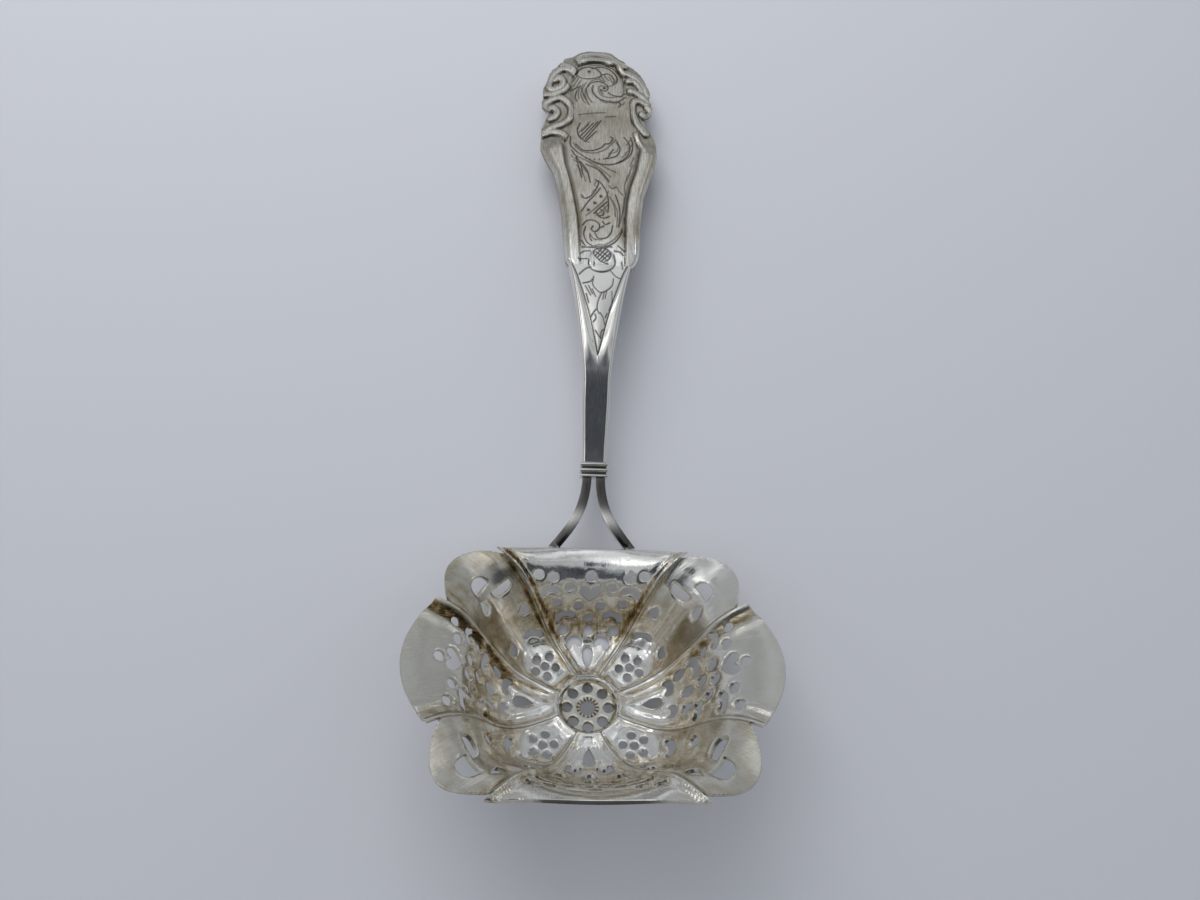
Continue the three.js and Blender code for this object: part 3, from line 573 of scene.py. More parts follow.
FRONT_FILM, FRONT_BAND = 0.35, 4.0  # share of it in the front half, and half the band where it changes
MIDDLE_AT, MIDDLE_WIDTH = 0.5, 0.13  # pierced middle of a wall, in shares of the lobe


# The bowl's points, each with its plan, its place in space, its wall normal, its tarnish and painted shade,
# and the lay of
# # the polish: millimetres across and along its lobe, and the lobe's number with its satin share.
class BowlPoints:
    def __init__(self):
        self.rows, self.edges = [], []
        self.count = 0

    def add(self, plan, place, normal, tarnish_and_shade, lay):
        self.rows.append((plan, place, normal, np.broadcast_to(tarnish_and_shade, (len(plan),)), lay))
        first = self.count
        self.count += len(plan)
        return np.arange(first, self.count)

    def add_lobe(self, lobe, u, t, drop=0.0):
        place, normal = lobe_surface(lobe, u, t)
        turn = LAY_STEP * lobe["number"] + lobe_satin(lobe, t)
        lay = np.stack([(u - 0.5) * lobe_width(lobe, t), t * LAY_LENGTH, turn], -1)
        tarnish_and_shade = lobe_tarnish_and_shade(lobe, u, t)
        return self.add(lobe_plan(lobe, u, t), place - normal * drop, normal, tarnish_and_shade, lay)

    # The boss has film round its disc, and painted shade on the edges of its holes, most of all the star's.
    def add_boss(self, plan, drop=0.0):
        x, y = plan[:, 0], plan[:, 1]
        radius = np.hypot(x, y)
        height = np.interp(radius, BOSS_AT, BOSS_HEIGHT)
        normal = np.tile([0.0, 0.0, 1.0], (len(x), 1))
        film_and_shade = DISC_FILM + DISC_EDGE_FILM * hump(radius, DISC_EDGE, 0.2)
        # painted shade on the hole edges, strongest on the star
        on_edge = HOLE_PAINTED_SHADE + STAR_PAINTED_SHADE * (radius < STAR_RADIUS + EDGE_ROUND)
        film_and_shade = film_and_shade + on_edge * eased(radius, STAR_START, STAR_END) * (drop > 0)
        satin = np.where(radius < DISC_EDGE, BOSS_LAY + DISC_SATIN, BOSS_LAY)
        lay = np.stack([radius, np.arctan2(y, x) * BOSS_RADIUS, satin], -1)
        return self.add(plan, np.stack([x, y, height - drop], -1), normal, film_and_shade, lay)

    def tie(self, indices, closed=False):
        pairs = list(zip(indices, indices[1:]))
        if closed:
            pairs.append((indices[-1], indices[0]))
        self.edges.extend((int(a), int(b)) for a, b in pairs)


# Brown film where a polishing cloth doesn't reach: in the troughs, most of all towards the rim and on
# # the left, and over the pierced middle of the wall, most of all at the back. Beside a small lobe's end step
# it
# # adds a fine line of painted shadow.
def lobe_tarnish_and_shade(lobe, u, t):
    u, t = np.broadcast_arrays(np.asarray(u, float), np.asarray(t, float))
    plan, width = lobe_plan(lobe, u, t), lobe_width(lobe, t)
    near = np.minimum(u, 1 - u) * width / np.clip(width / FILM_FULL, LEAST_SQUEEZE, 1)
    left = 1 - LEFT_FILM + LEFT_FILM * np.clip(-plan[..., 0] / LEFT_REACH, -1, 1)
    fade = held(t / FLUTE_START) * (INNER_FILM + (1 - INNER_FILM) * eased(t, 0.2, 0.6)) * left
    fade = fade * (FRONT_FILM + (1 - FRONT_FILM) * eased(plan[..., 1], -FRONT_BAND, FRONT_BAND))
    if lobe["small"]:
        # a fine line of painted shadow beside the step
        by_step = hump(from_end_ridge(lobe, u) * width, 0.75, 0.3)
        film_and_shade = SMALL_LOBE_FILM * hump(near, 0, 3) + END_STEP_PAINTED_SHADE * by_step
    else:
        end = SIDE_FILM_END if lobe["side"] else END_FILM_END
        in_trough = eased(near, 0.55, 0.85) * (1 - eased(near, end - 0.6, end))
        film_and_shade = TROUGH_FILM * in_trough + BY_TROUGH_FILM * hump(near, 0, 5)
    film_and_shade = fade * film_and_shade + MIDDLE_FILM[lobe["number"]] * hump(t, MIDDLE_AT, MIDDLE_WIDTH)
    film_and_shade = film_and_shade + OUTER_FILM[lobe["number"]] * eased(t, 0.6, 0.8)
    film_and_shade = film_and_shade + PETAL_FILM * hump(near, 0.8, 0.25) * (1 - eased(t, *BY_BOSS))
    if lobe is BACK_LOBE:
        film_and_shade = film_and_shade + BACK_CORNER_FILM * eased(u, BACK_CORNER, 1) * eased(t, BACK_CORNER, 1)
    return held(film_and_shade)


# Satin share: the outer parts of the lobes are rubbed dull, but not the back lobe's rim.
def lobe_satin(lobe, t):
    return eased(t, 0.5, 0.75) * OUTER_SATIN[lobe["number"]]


# Lengths along a lobe's middle, from the boss.
def lobe_lengths(lobe):
    span = np.linspace(0, 1, 200)
    middle = lobe_surface(lobe, np.full(len(span), 0.5), span)[0]
    return span, np.concatenate([[0], np.cumsum(np.linalg.norm(np.diff(middle, axis=0), axis=1))])


# Places across and along a lobe, closest by its ridges.
def lobe_grid(lobe):
    span, lengths = lobe_lengths(lobe)
    rows = np.interp(np.linspace(0, lengths[-1], int(lengths[-1] / GRID) + 1), lengths, span)
    u, t = [], []
    for row in rows[1:-1]:
        width = float(lobe_width(lobe, np.array(row)))
        near = [d / width for d in NEAR_RIDGE if d < NEAR_SHARE * width]
        steps = max(int((1 - 2 * near[-1]) * width / GRID) + 1, 2)
        inner = np.linspace(near[-1], 1 - near[-1], steps + 1)[1:-1]
        places = near + list(inner) + [1 - n for n in reversed(near)]
        u.extend(places)
        t.extend([row] * len(places))
    return np.array(u), np.array(t)


def pierced_sheet():
    points = BowlPoints()
    holes = []
    for lobe in LOBES:
        outlines = []
        for outline, u, t, turn in lobe_holes(lobe):
            edge = laid(lobe, outline, u, t, turn)
            ring = laid(lobe, grown(outline, EDGE_ROUND), u, t, turn)
            points.tie(list(points.add_lobe(lobe, edge[:, 0], edge[:, 1], EDGE_DROP)), True)
            points.add_lobe(lobe, ring[:, 0], ring[:, 1])
            outlines.append(lobe_plan(lobe, edge[:, 0], edge[:, 1]))
        u, t = lobe_grid(lobe)
        keep = clear_of(outlines, lobe_plan(lobe, u, t), HOLE_CLEAR)
        points.add_lobe(lobe, u[keep], t[keep])
        holes += outlines
    rim = add_rim_and_ridges(points)
    holes += add_boss(points)
    return points, rim, holes


# The crests of the ridges, and the outer edge, which steps along a ridge where a small lobe ends.
def add_rim_and_ridges(points):
    ridge_ends = []
    for i, ridge in enumerate(RIDGES[:-1]):
        lobe = LOBES[i] if not LOBES[i]["small"] else LOBES[i - 1]
        u = 0.0 if not LOBES[i]["small"] else 1.0
        steps = int((ridge[2] - BOSS_RADIUS) / GRID * CREST_FINENESS)
        inner = np.linspace(0, SMALL_LOBE_REACH, steps + 1)
        outer = np.linspace(SMALL_LOBE_REACH, 1, CREST_END_STEPS + 1)[1:]
        t = np.concatenate([inner, outer])
        crest = points.add_lobe(lobe, np.full(len(t), u), t)
        points.tie(list(crest))
        ridge_ends.append((int(crest[0]), int(crest[steps]), list(crest[steps + 1:])))
    loop, boss_loop = [], []
    for i, lobe in enumerate(LOBES):
        start, end = ridge_ends[i], ridge_ends[(i + 1) % len(LOBES)]
        width = float(lobe_width(lobe, np.array(1.0)))
        u = np.linspace(0, 1, int(width / RIM_GRID))[1:-1]
        rim = points.add_lobe(lobe, u, np.ones(len(u)), EDGE_DROP)
        points.add_lobe(lobe, u, np.full(len(u), 1 - EDGE_ROUND / lobe_lengths(lobe)[1][-1]))
        arc = np.linspace(0, 1, BOSS_ARC_STEPS + 1)[1:-1]
        foot = points.add_lobe(lobe, arc, np.zeros(len(arc)))
        boss_loop += [start[0], *foot]
        if lobe["small"]:
            loop += [start[1], *rim, end[1]]
        else:
            loop += [*start[2], *rim, *reversed(end[2])]
    points.tie(loop, True)
    points.tie(boss_loop, True)
    return loop


def add_boss(points):
    centres = spun(BOSS_HOLE_CIRCLE, full_turn(BOSS_HOLES))
    outlines = [round_hole(BOSS_HOLE, x, y) for x, y in centres] + [star_hole(STAR_RADIUS, STAR_POINTS)]
    for outline in outlines:
        points.tie(list(points.add_boss(outline, EDGE_DROP)), True)
        points.add_boss(grown(outline, EDGE_ROUND))
    for radius in DISC_RINGS + BOSS_AT[1:-1]:
        ring = spun(radius, full_turn(BOSS_RING_STEPS))
        points.add_boss(ring[clear_of(outlines, ring, BOSS_HOLE_CLEAR)])
    return outlines


# Both faces of the pierced sheet and the walls of its edges, with the film and painted shade, and the lay of
# the polish.
def bowl_mesh():
    points, rim, holes = pierced_sheet()
    plan, place, normal, tarnish_and_shade, lay = (np.concatenate(column) for column in zip(*points.rows))
    triangles = triangulated(plan, points.edges, False, 1e-5)
    centres = plan[triangles].mean(1)
    keep = inside(plan[rim], centres)
    for outline in holes:
        low, high = outline.min(0), outline.max(0)
        close = np.flatnonzero(((centres > low) & (centres < high)).all(1))
        keep[close[inside(outline, centres[close])]] = False
    used, triangles = np.unique(triangles[keep], return_inverse=True)
    triangles = triangles.reshape(-1, 3)
    place, normal, tarnish_and_shade, lay = place[used], normal[used], tarnish_and_shade[used], lay[used]
    count = len(used)
    walls = {}
    for face in triangles.tolist():
        for pair in zip(face, face[1:] + face[:1]):
            if pair[::-1] in walls:
                del walls[pair[::-1]]
            else:
                walls[pair] = True
    lower = place - normal * BOWL_SHEET
    faces = triangles.tolist() + (triangles[:, ::-1] + count).tolist()
    faces += [[v, u, u + count, v + count] for u, v in walls]
    # Under the bowl the film is partly tarnish and partly painted shade, which darkens the hole walls.
    film_and_shade = np.concatenate([tarnish_and_shade, UNDER_FILM_AND_SHADE + UNDER_SHARE * tarnish_and_shade])
    both = resting(tilted(np.concatenate([place, lower])))
    return both, faces, {"tarnish_and_shade": film_and_shade, "lay": np.concatenate([lay, lay])}


# Meshes, pieces and materials

def linear(colour):
    parts = [int(colour[i:i + 2], 16) / 255 for i in (1, 3, 5)]
    return tuple(p / 12.92 if p <= 0.04045 else ((p + 0.055) / 1.055) ** 2.4 for p in parts) + (1.0,)


def plug(tree, made, inputs):
    for name, value in inputs.items():
        if isinstance(value, bpy.types.NodeSocket):
            tree.links.new(value, made.inputs[name])
        else:
            made.inputs[name].default_value = value


# Adds a node with its settings and links, and gives the output that is used.
def node(tree, kind, inputs, output=0, **settings):
    made = tree.nodes.new("ShaderNode" + kind)
    for name, value in settings.items():
        setattr(made, name, value)
    plug(tree, made, inputs)
    return made.outputs[output]


def new_material(name):
    material = bpy.data.materials.new(name)
    material.use_nodes = True
    tree = material.node_tree
    return material, tree, tree.nodes["Principled BSDF"]


SMOOTH_ANGLE, SCROLL_SMOOTH_ANGLE, BACK_SMOOTH_ANGLE = 38, 60, 50


def finished(piece, material, replaced, smooth_angle=SMOOTH_ANGLE):
    piece.data.materials.append(material)
    bpy.ops.object.select_all(action="DESELECT")
    piece.select_set(True)
    bpy.context.view_layer.objects.active = piece
    bpy.ops.object.shade_smooth_by_angle(angle=math.radians(smooth_angle))
    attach(piece, "root")
    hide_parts(replaced)
    return piece


def set_values(piece, name, values):
    values = np.asarray(values, np.float32)
    kind, field = ("FLOAT", "value") if values.ndim == 1 else ("FLOAT_VECTOR", "vector")
    layer = piece.data.attributes.new(name, kind, "POINT")
    layer.data.foreach_set(field, values.ravel())


# A shape is its points, its faces, and values at its points that its material reads.
def add_piece(name, shape, material, replaced, smooth_angle=SMOOTH_ANGLE):
    points, faces, values = shape
    mesh = bpy.data.meshes.new(name)
    mesh.from_pydata(((points + ORIGIN) * MM).tolist(), [], faces)
    piece = bpy.data.objects.new(name, mesh)
    bpy.context.collection.objects.link(piece)
    finished(piece, material, replaced, smooth_angle)
    for value_name, value in values.items():
        set_values(piece, value_name, value)


# Raised and polished silver: bright and nearly mirror-like, with soft dents from the raising hammer,
# # burnishing streaks along the lobes, scratches, a brown sulphide film in the troughs, and painted shade in
# the
# # same dark browns on the boss's hole edges, beside the small lobes' end steps and on the hole walls.
# Streaks and
# # scratches are drawn coarser than they are, so that they show.
def raised_silver():
    material, tree, shader = new_material("raised_polished_silver")
    place = node(tree, "TexCoord", {}, "Object")
    film_and_shade = node(tree, "Attribute", {}, "Fac", attribute_name="tarnish_and_shade")
    lay = node(tree, "Attribute", {}, "Vector", attribute_name="lay")
    drawn_out = node(tree, "Mapping", {"Vector": lay, "Scale": (1 / 0.35, 1 / 7, 1)})
    streaks = node(tree, "TexNoise", {"Vector": drawn_out, "Scale": 1.0, "Detail": 3.0})
    blotch = node(tree, "TexNoise", {
        "Vector": place, "Scale": 1 / (3 * MM), "Detail": 5.0, "Roughness": 0.65})
    patchy = node(tree, "MapRange", {
        "Value": blotch, "From Min": 0.34, "From Max": 0.66, "To Min": 0.25, "To Max": 1.6})
    streaky = node(tree, "MapRange", {
        "Value": streaks, "From Min": 0.3, "From Max": 0.7, "To Min": 0.6, "To Max": 1.35})
    worn = node(tree, "Math", {0: film_and_shade, 1: patchy}, operation="MULTIPLY")
    amount = node(tree, "Math", {0: worn, 1: streaky}, operation="MULTIPLY", use_clamp=True)
    # The ramp's browns colour both the real tarnish and the painted shade.
    colour = node(tree, "ValToRGB", {"Fac": amount})
    ramp = colour.node.color_ramp
    ramp.elements[0].color = linear("#efeeea")
    ramp.elements[1].color = linear("#54442f")
    ramp.elements.new(0.25).color = linear("#dad2c1")
    ramp.elements.new(0.6).color = linear("#a28c66")
    part = node(tree, "SeparateXYZ", {0: lay}, "Z")
    satin = node(tree, "Math", {0: part, 1: LAY_STEP}, operation="MODULO")
    grey = node(tree, "Mix", {
        "Factor": satin, 6: colour, 7: linear("#d6d6d1")}, 2, data_type="RGBA", blend_type="MULTIPLY")
    rough = node(tree, "MapRange", {"Value": streaks, "To Min": 0.05, "To Max": 0.14})
    dull = node(tree, "Math", {0: amount, 1: 0.12, 2: rough}, operation="MULTIPLY_ADD")
    rubbed = node(tree, "Math", {0: satin, 1: 0.2, 2: dull}, operation="MULTIPLY_ADD")
    dents = node(tree, "TexNoise", {"Vector": place, "Scale": 1 / (4.5 * MM), "Detail": 1.5})
    scratches = node(tree, "TexNoise", {"Vector": place, "Scale": 1 / (0.6 * MM), "Detail": 4.0})
    soft = node(tree, "Bump", {"Height": dents, "Distance": 0.35 * MM, "Strength": 0.65})
    lines = node(tree, "Bump", {
        "Height": streaks, "Distance": 0.05 * MM, "Strength": 0.4, "Normal": soft})
    fine = node(tree, "Bump", {
        "Height": scratches, "Distance": 0.05 * MM, "Strength": 0.5, "Normal": lines})
    plug(tree, shader, {"Base Color": grey, "Metallic": 1.0, "Roughness": rubbed, "Normal": fine})
    return material


add_piece("bowl_sheet", bowl_mesh(), raised_silver(), "pierced_bowl")


# Sections of the stem, and the handle's place behind it

FORK_HEIGHT = RIM_END[2] + FORK_LIFT
SHOULDER_HEIGHT = FORK_HEIGHT + SHOULDER_RISE
END_HEIGHT = FLOOR_HEIGHT + BACK_BELLY - REST_WEAR
HANDLE_PITCH = math.asin((SHOULDER_HEIGHT - END_HEIGHT) / (HANDLE_LENGTH - TIP_ROUNDING))


def stem_height(y):
    share = held((y - COLLAR_Y) / (SHOULDER_Y - COLLAR_Y))
    return FORK_HEIGHT + SHOULDER_RISE * np.sin(share * math.pi / 2)


def stem_flare(y):
    share = held((y - STEM_Y) / STEM_LENGTH)
    return held((share - FLARE_START) / (1 - FLARE_START)) ** FLARE_POWER


def handle_place(points):
    y, z = swung(points[..., 1], points[..., 2], HANDLE_PITCH)
    return np.stack([points[..., 0], SHOULDER_Y + SEAT_GAP + y, SHOULDER_HEIGHT + z], -1)


# Bars are a square that is extruded from section to section, then rounded along its edges.

CORNER_SIGNS = ((-1, -1), (1, -1), (1, 1), (-1, 1))
ROUNDING_STEPS, ROUNDED_ANGLE = 3, math.radians(50)


def corners(centre, across, up, width, thickness):
    across, up = np.asarray(across) * width / 2, np.asarray(up) * thickness / 2
    return [centre + a * across + b * up for a, b in CORNER_SIGNS]


def extruded_bar(name, sections, rounding, material, replaced):
    bpy.ops.object.select_all(action="DESELECT")
    bpy.ops.mesh.primitive_plane_add(size=1)
    bar = bpy.context.object
    bar.name = bar.data.name = name
    sections = [[Vector((corner + ORIGIN) * MM) for corner in section] for section in sections]
    square = [Vector(v.co) for v in bar.data.vertices]
    for (a, b), corner in zip(CORNER_SIGNS, sections[0]):
        nearest = min(range(4), key=lambda i: (square[i] - Vector((a / 2, b / 2, 0))).length)
        bar.data.vertices[nearest].co = corner
    bpy.ops.object.mode_set(mode="EDIT")
    bpy.ops.mesh.select_all(action="SELECT")
    for before, after in zip(sections, sections[1:]):
        bpy.ops.mesh.extrude_region_move()
        edited = bmesh.from_edit_mesh(bar.data)
        for vertex in (v for v in edited.verts if v.select):
            nearest = min(range(4), key=lambda i: (vertex.co - before[i]).length)
            vertex.co = after[nearest]
        bmesh.update_edit_mesh(bar.data)
    bpy.ops.mesh.select_all(action="SELECT")
    bpy.ops.mesh.normals_make_consistent(inside=False)
    bpy.ops.object.mode_set(mode="OBJECT")
    bevel = bar.modifiers.new("rounded_edges", "BEVEL")
    bevel.width = rounding * MM
    bevel.segments = ROUNDING_STEPS
    bevel.limit_method = "ANGLE"
    bevel.angle_limit = ROUNDED_ANGLE
    bpy.ops.object.modifier_apply(modifier=bevel.name)
    return finished(bar, material, replaced)


PRONG_WAVE, PRONG_ROUNDING, PRONG_STEPS = 0.2, 0.36, 25
# Where the bow's two guiding points lie: share across, and share from the collar to the rim
STRAIGHT_GUIDE, BOWED_GUIDE = (1.2, 0.5), (0.6, 0.72)
FOOT_STEPS = (0.25, 0.5, 0.75, 1)
FOOT_FOLLOW = 0.9  # how far a foot follows the rim's bulge
NECK_SHARE = 0.8  # how much of the gap to the collar is closed


# The middle of the right prong: straight out of the collar, then a bow to the rim, then the foot. It
# dips, rises and dips again, which gives its flat top a light middle and dark ends.
def prong_path():
    top = COLLAR_Y - SEAT_GAP
    offset = (FORK_SLIT + PRONG_WIDTH) / 2
    fall = RIM_END[1] - top
    start = np.array([offset, top, stem_height(top)])
    straight = np.array([offset * STRAIGHT_GUIDE[0], top + STRAIGHT_GUIDE[1] * fall, start[2]])
    bowed = np.array([RIM_END[0] * BOWED_GUIDE[0], top + BOWED_GUIDE[1] * fall, RIM_END[2]])
    share = np.linspace(0, 1, PRONG_STEPS)[:, None]
    curve = (start * (1 - share) ** 3 + 3 * straight * share * (1 - share) ** 2
             + 3 * bowed * share ** 2 * (1 - share) + RIM_END * share ** 3)
    curve[:, 2] -= PRONG_WAVE * np.sin(2 * math.pi * share[:, 0])
    shares = [FOOT_START - part * FOOT_LENGTH_SHARE for part in FOOT_STEPS]
    foot = [foot_seat(s, FOOT_FOLLOW * rim_bulge(BACK_LOBE, FOOT_ACROSS, s)) for s in shares]
    neck = np.array([[offset, top + SEAT_GAP * NECK_SHARE, stem_height(top)]])
    return np.concatenate([neck, curve, foot])


def prong_sections(side):
    path = prong_path()
    sections = []
    for i, centre in enumerate(path):
        ahead = path[min(i + 1, len(path) - 1)] - path[max(i - 1, 0)]
        ahead /= np.linalg.norm(ahead)
        across = np.cross([0, 0, 1], ahead)
        across /= np.linalg.norm(across)
        section = corners(centre, across, np.cross(ahead, across), PRONG_WIDTH, PRONG_THICKNESS)
        sections.append([corner * np.array([side, 1, 1]) for corner in section])
    return sections


COLLAR_WALL, COLLAR_RISE, COLLAR_ROUNDING = 0.7, 0.45, 0.35
COLLAR_STEPS = 13 * COLLAR_RIDGES
COLLAR_END = 0.1  # share of the collar's beads that its ends cut off
BEAD_POWER = 1.2
BORE_WIDTH, BORE_THICKNESS = 2 * PRONG_WIDTH, 2.0


# Three round beads with dark grooves between them.
def collar_bead(share):
    turn = COLLAR_END + (1 - 2 * COLLAR_END) * min(max(share, 0), 1)
    return abs(math.sin(turn * COLLAR_RIDGES * math.pi)) ** BEAD_POWER


def collar_sections():
    sections = []
    for step in range(COLLAR_STEPS + 1):
        share = step / COLLAR_STEPS
        wall = 2 * COLLAR_WALL + (2 * collar_bead(share) - 1) * COLLAR_RISE
        y = COLLAR_Y + COLLAR_LENGTH * share
        centre = np.array([0, y, stem_height(y)])
        sections.append(corners(centre, (1, 0, 0), (0, 0, 1), BORE_WIDTH + wall, BORE_THICKNESS + wall))
    return sections


# Relief: grids of points between an upper and a lower height, closed all round

def grid_faces(rows, columns):
    index = np.arange(rows * columns).reshape(rows, columns)
    quads = np.stack([index[:-1, :-1], index[:-1, 1:], index[1:, 1:], index[1:, :-1]], -1)
    return index, quads.reshape(-1, 4)


def slab(upper, lower):
    index, quads = grid_faces(*upper.shape[:2])
    count = index.size
    faces = quads.tolist() + (quads[:, ::-1] + count).tolist()
    for edge in (index[0], index[-1, ::-1], index[::-1, 0], index[:, -1]):
        for a, b in zip(edge[:-1].tolist(), edge[1:].tolist()):
            faces.append([a + count, b + count, b, a])
    return np.concatenate([upper.reshape(-1, 3), lower.reshape(-1, 3)]), faces


# A smooth line through a few points.
def flowing(points, steps=5):
    points = np.array(points, float)
    if len(points) == 2:
        return points
    padded = np.concatenate([2 * points[:1] - points[1:2], points, 2 * points[-1:] - points[-2:-1]])
    line = []
    for a, b, c, d in zip(padded, padded[1:], padded[2:], padded[3:]):
        for share in np.arange(steps) / steps:
            line.append(0.5 * (2 * b + (c - a) * share + (2 * a - 5 * b + 4 * c - d) * share ** 2
                               + (3 * b - a - 3 * c + d) * share ** 3))
    return np.array(line + [points[-1]])


def gap_to(line, x, y, reach):
    gap = np.full(x.shape, reach)
    for (ax, ay), (bx, by) in zip(line, line[1:]):
        near = np.nonzero((x > min(ax, bx) - reach) & (x < max(ax, bx) + reach)
                          & (y > min(ay, by) - reach) & (y < max(ay, by) + reach))
        px, py, dx, dy = x[near] - ax, y[near] - ay, bx - ax, by - ay
        share = held((px * dx + py * dy) / max(dx * dx + dy * dy, 1e-9))
        gap[near] = np.minimum(gap[near], np.hypot(px - share * dx, py - share * dy))
    return gap


ENGRAVED_WIDTH, ENGRAVED_DEPTH = 0.14, 0.1


def engraved(lines, x, y):
    cut = np.zeros(x.shape)
    for line in lines:
        cut = np.maximum(cut, hump(gap_to(flowing(line), x, y, 3 * ENGRAVED_WIDTH), 0, ENGRAVED_WIDTH))
    return cut


# Handle, from its shoulders to its end: half widths left and right, scrolls of the border, rails and. Most
# points were picked by eye in the photograph, and another script turned them into millimetres through the
# camera above.
# # engraved scrolls, leaves and dots. Most points were read off the photograph and turned into millimetres
# # through the camera above.
LEFT_EDGE = [
    (0, 6.3), (0.5, 7.0), (1.5, 7.6), (3, 7.8), (5.6, 8.1), (9.2, 8.4), (13.6, 8.8), (17.3, 9.4),
    (21, 10), (24, 10.8), (26.9, 12.3), (29.4, 13.5), (31.1, 14.1), (32.8, 13.9), (33.6, 13.3),
    (34.2, 13.7), (35, 14), (36.6, 13.4), (38.6, 12.8), (39.7, 12.2), (41.3, 12.2), (42, 13.4),
    (42.7, 14.1), (43.8, 13.8), (45, 13.3), (45.8, 13.9), (46.6, 13.9), (47.9, 13.1), (50.2, 12.6),
    (52.1, 11.9), (53.7, 10), (54.4, 9.5), (55.7, 9), (56.5, 7), (57.4, 6), (58.1, 5.2), (58.9, 3.5),
    (59.2, 2.2),
]
RIGHT_EDGE = [
    (0, 6.6), (0.5, 7.6), (1.5, 8.3), (3, 8.8), (4.8, 9), (10.3, 9.2), (14.8, 9.6), (18.5, 10.1),
    (22, 11.1), (25.1, 12), (27.5, 12.8), (29.5, 13.2), (32.2, 12.9), (35.3, 11.9), (37, 10.9),
    (37.9, 10.3), (39.1, 10.1), (40.8, 10.5), (41.5, 11.6), (42.5, 12.1), (43.3, 11.8), (44.7, 11.2),
    (45.9, 11.5), (47.7, 11.3), (50.1, 10.4), (52.3, 9.2), (54, 7.5), (55, 5.8), (56, 5.4), (56.7, 4.1),
    (57.9, 2.9), (58.7, 2.2), (59.2, 0.8),
]
LEFT_FOOT = [(0, 4.2), (6.8, 4.5), (11.8, 4.9), (16.6, 5.8), (21.4, 6.8), (25.8, 8), (31.3, 8.6), (34, 7.4),
             (38, 6.6), (44, 6.6), (48, 7), (51, 6.4), (54, 5), (55.6, 3), (59.2, 1)]
RIGHT_FOOT = [(0, 5.5), (7, 5.4), (11.4, 5.4), (15.8, 5.7), (20, 6.4), (25, 7.9), (30.5, 8.8), (34, 7.6),
              (38, 7), (44, 6.6), (48, 5.6), (51, 4.6), (54, 3), (55.6, 1.4), (59.2, 0.4)]
SCROLLS = [
    [(-5.8, 55.3), (-4.6, 56.5), (-2.2, 57.3), (0.1, 57.3), (1.8, 56.6), (2.5, 55.3)],
    [(-5.2, 54.2), (-3.9, 55.1), (-1.9, 55.5), (0.5, 55.4), (2, 54.7)],
    [(-9.6, 53.4), (-8.1, 52.8), (-6.7, 51.8), (-6.5, 50.9)],
    [(-6.7, 51.1), (-8.1, 52.1), (-9.9, 52), (-11.7, 50.3), (-12.5, 47.9), (-12.3, 46.3), (-10.9, 46.2),
     (-9.6, 47.2), (-9.3, 48.6), (-10.2, 49.6), (-11.2, 48.9)],
    [(-13.6, 44.6), (-11.4, 44.8), (-9.1, 45.9), (-8.3, 47.1)],
    [(-13.3, 41.8), (-11.8, 43.1), (-9.7, 43.7), (-7.9, 42.4), (-7.1, 40.5), (-7.5, 38.1), (-9.2, 36.4),
     (-11.3, 35.4), (-13.4, 33.9)],
    [(-12.7, 40.4), (-11.4, 41), (-10.5, 39.8), (-11.1, 38.3), (-12, 37.8)],
    [(-13.5, 33.4), (-11.4, 34.1), (-9.2, 33.7), (-8, 32.6)],
    [(2.7, 55.5), (4.1, 54.6), (5.4, 54)],
    [(4.1, 53.8), (4.7, 52), (6.6, 51.5), (8.5, 50.4), (10, 48.3), (11, 45.9)],
    [(6.3, 49.6), (7.8, 49.7), (9, 48.4), (9.6, 47)],
    [(6.6, 46.8), (8.3, 46.3), (9.9, 45.2), (11.2, 44.1)],
    [(10.8, 43.4), (8.9, 44.1), (7.5, 43.6), (7.2, 41.2), (8, 38.6), (9.2, 36.5), (10.4, 35)],
    [(10.8, 42.6), (11.8, 41.1), (10.6, 40), (9.6, 40.5)],
    [(7.9, 34.5), (8.5, 32.4), (9.8, 30.5)],
]
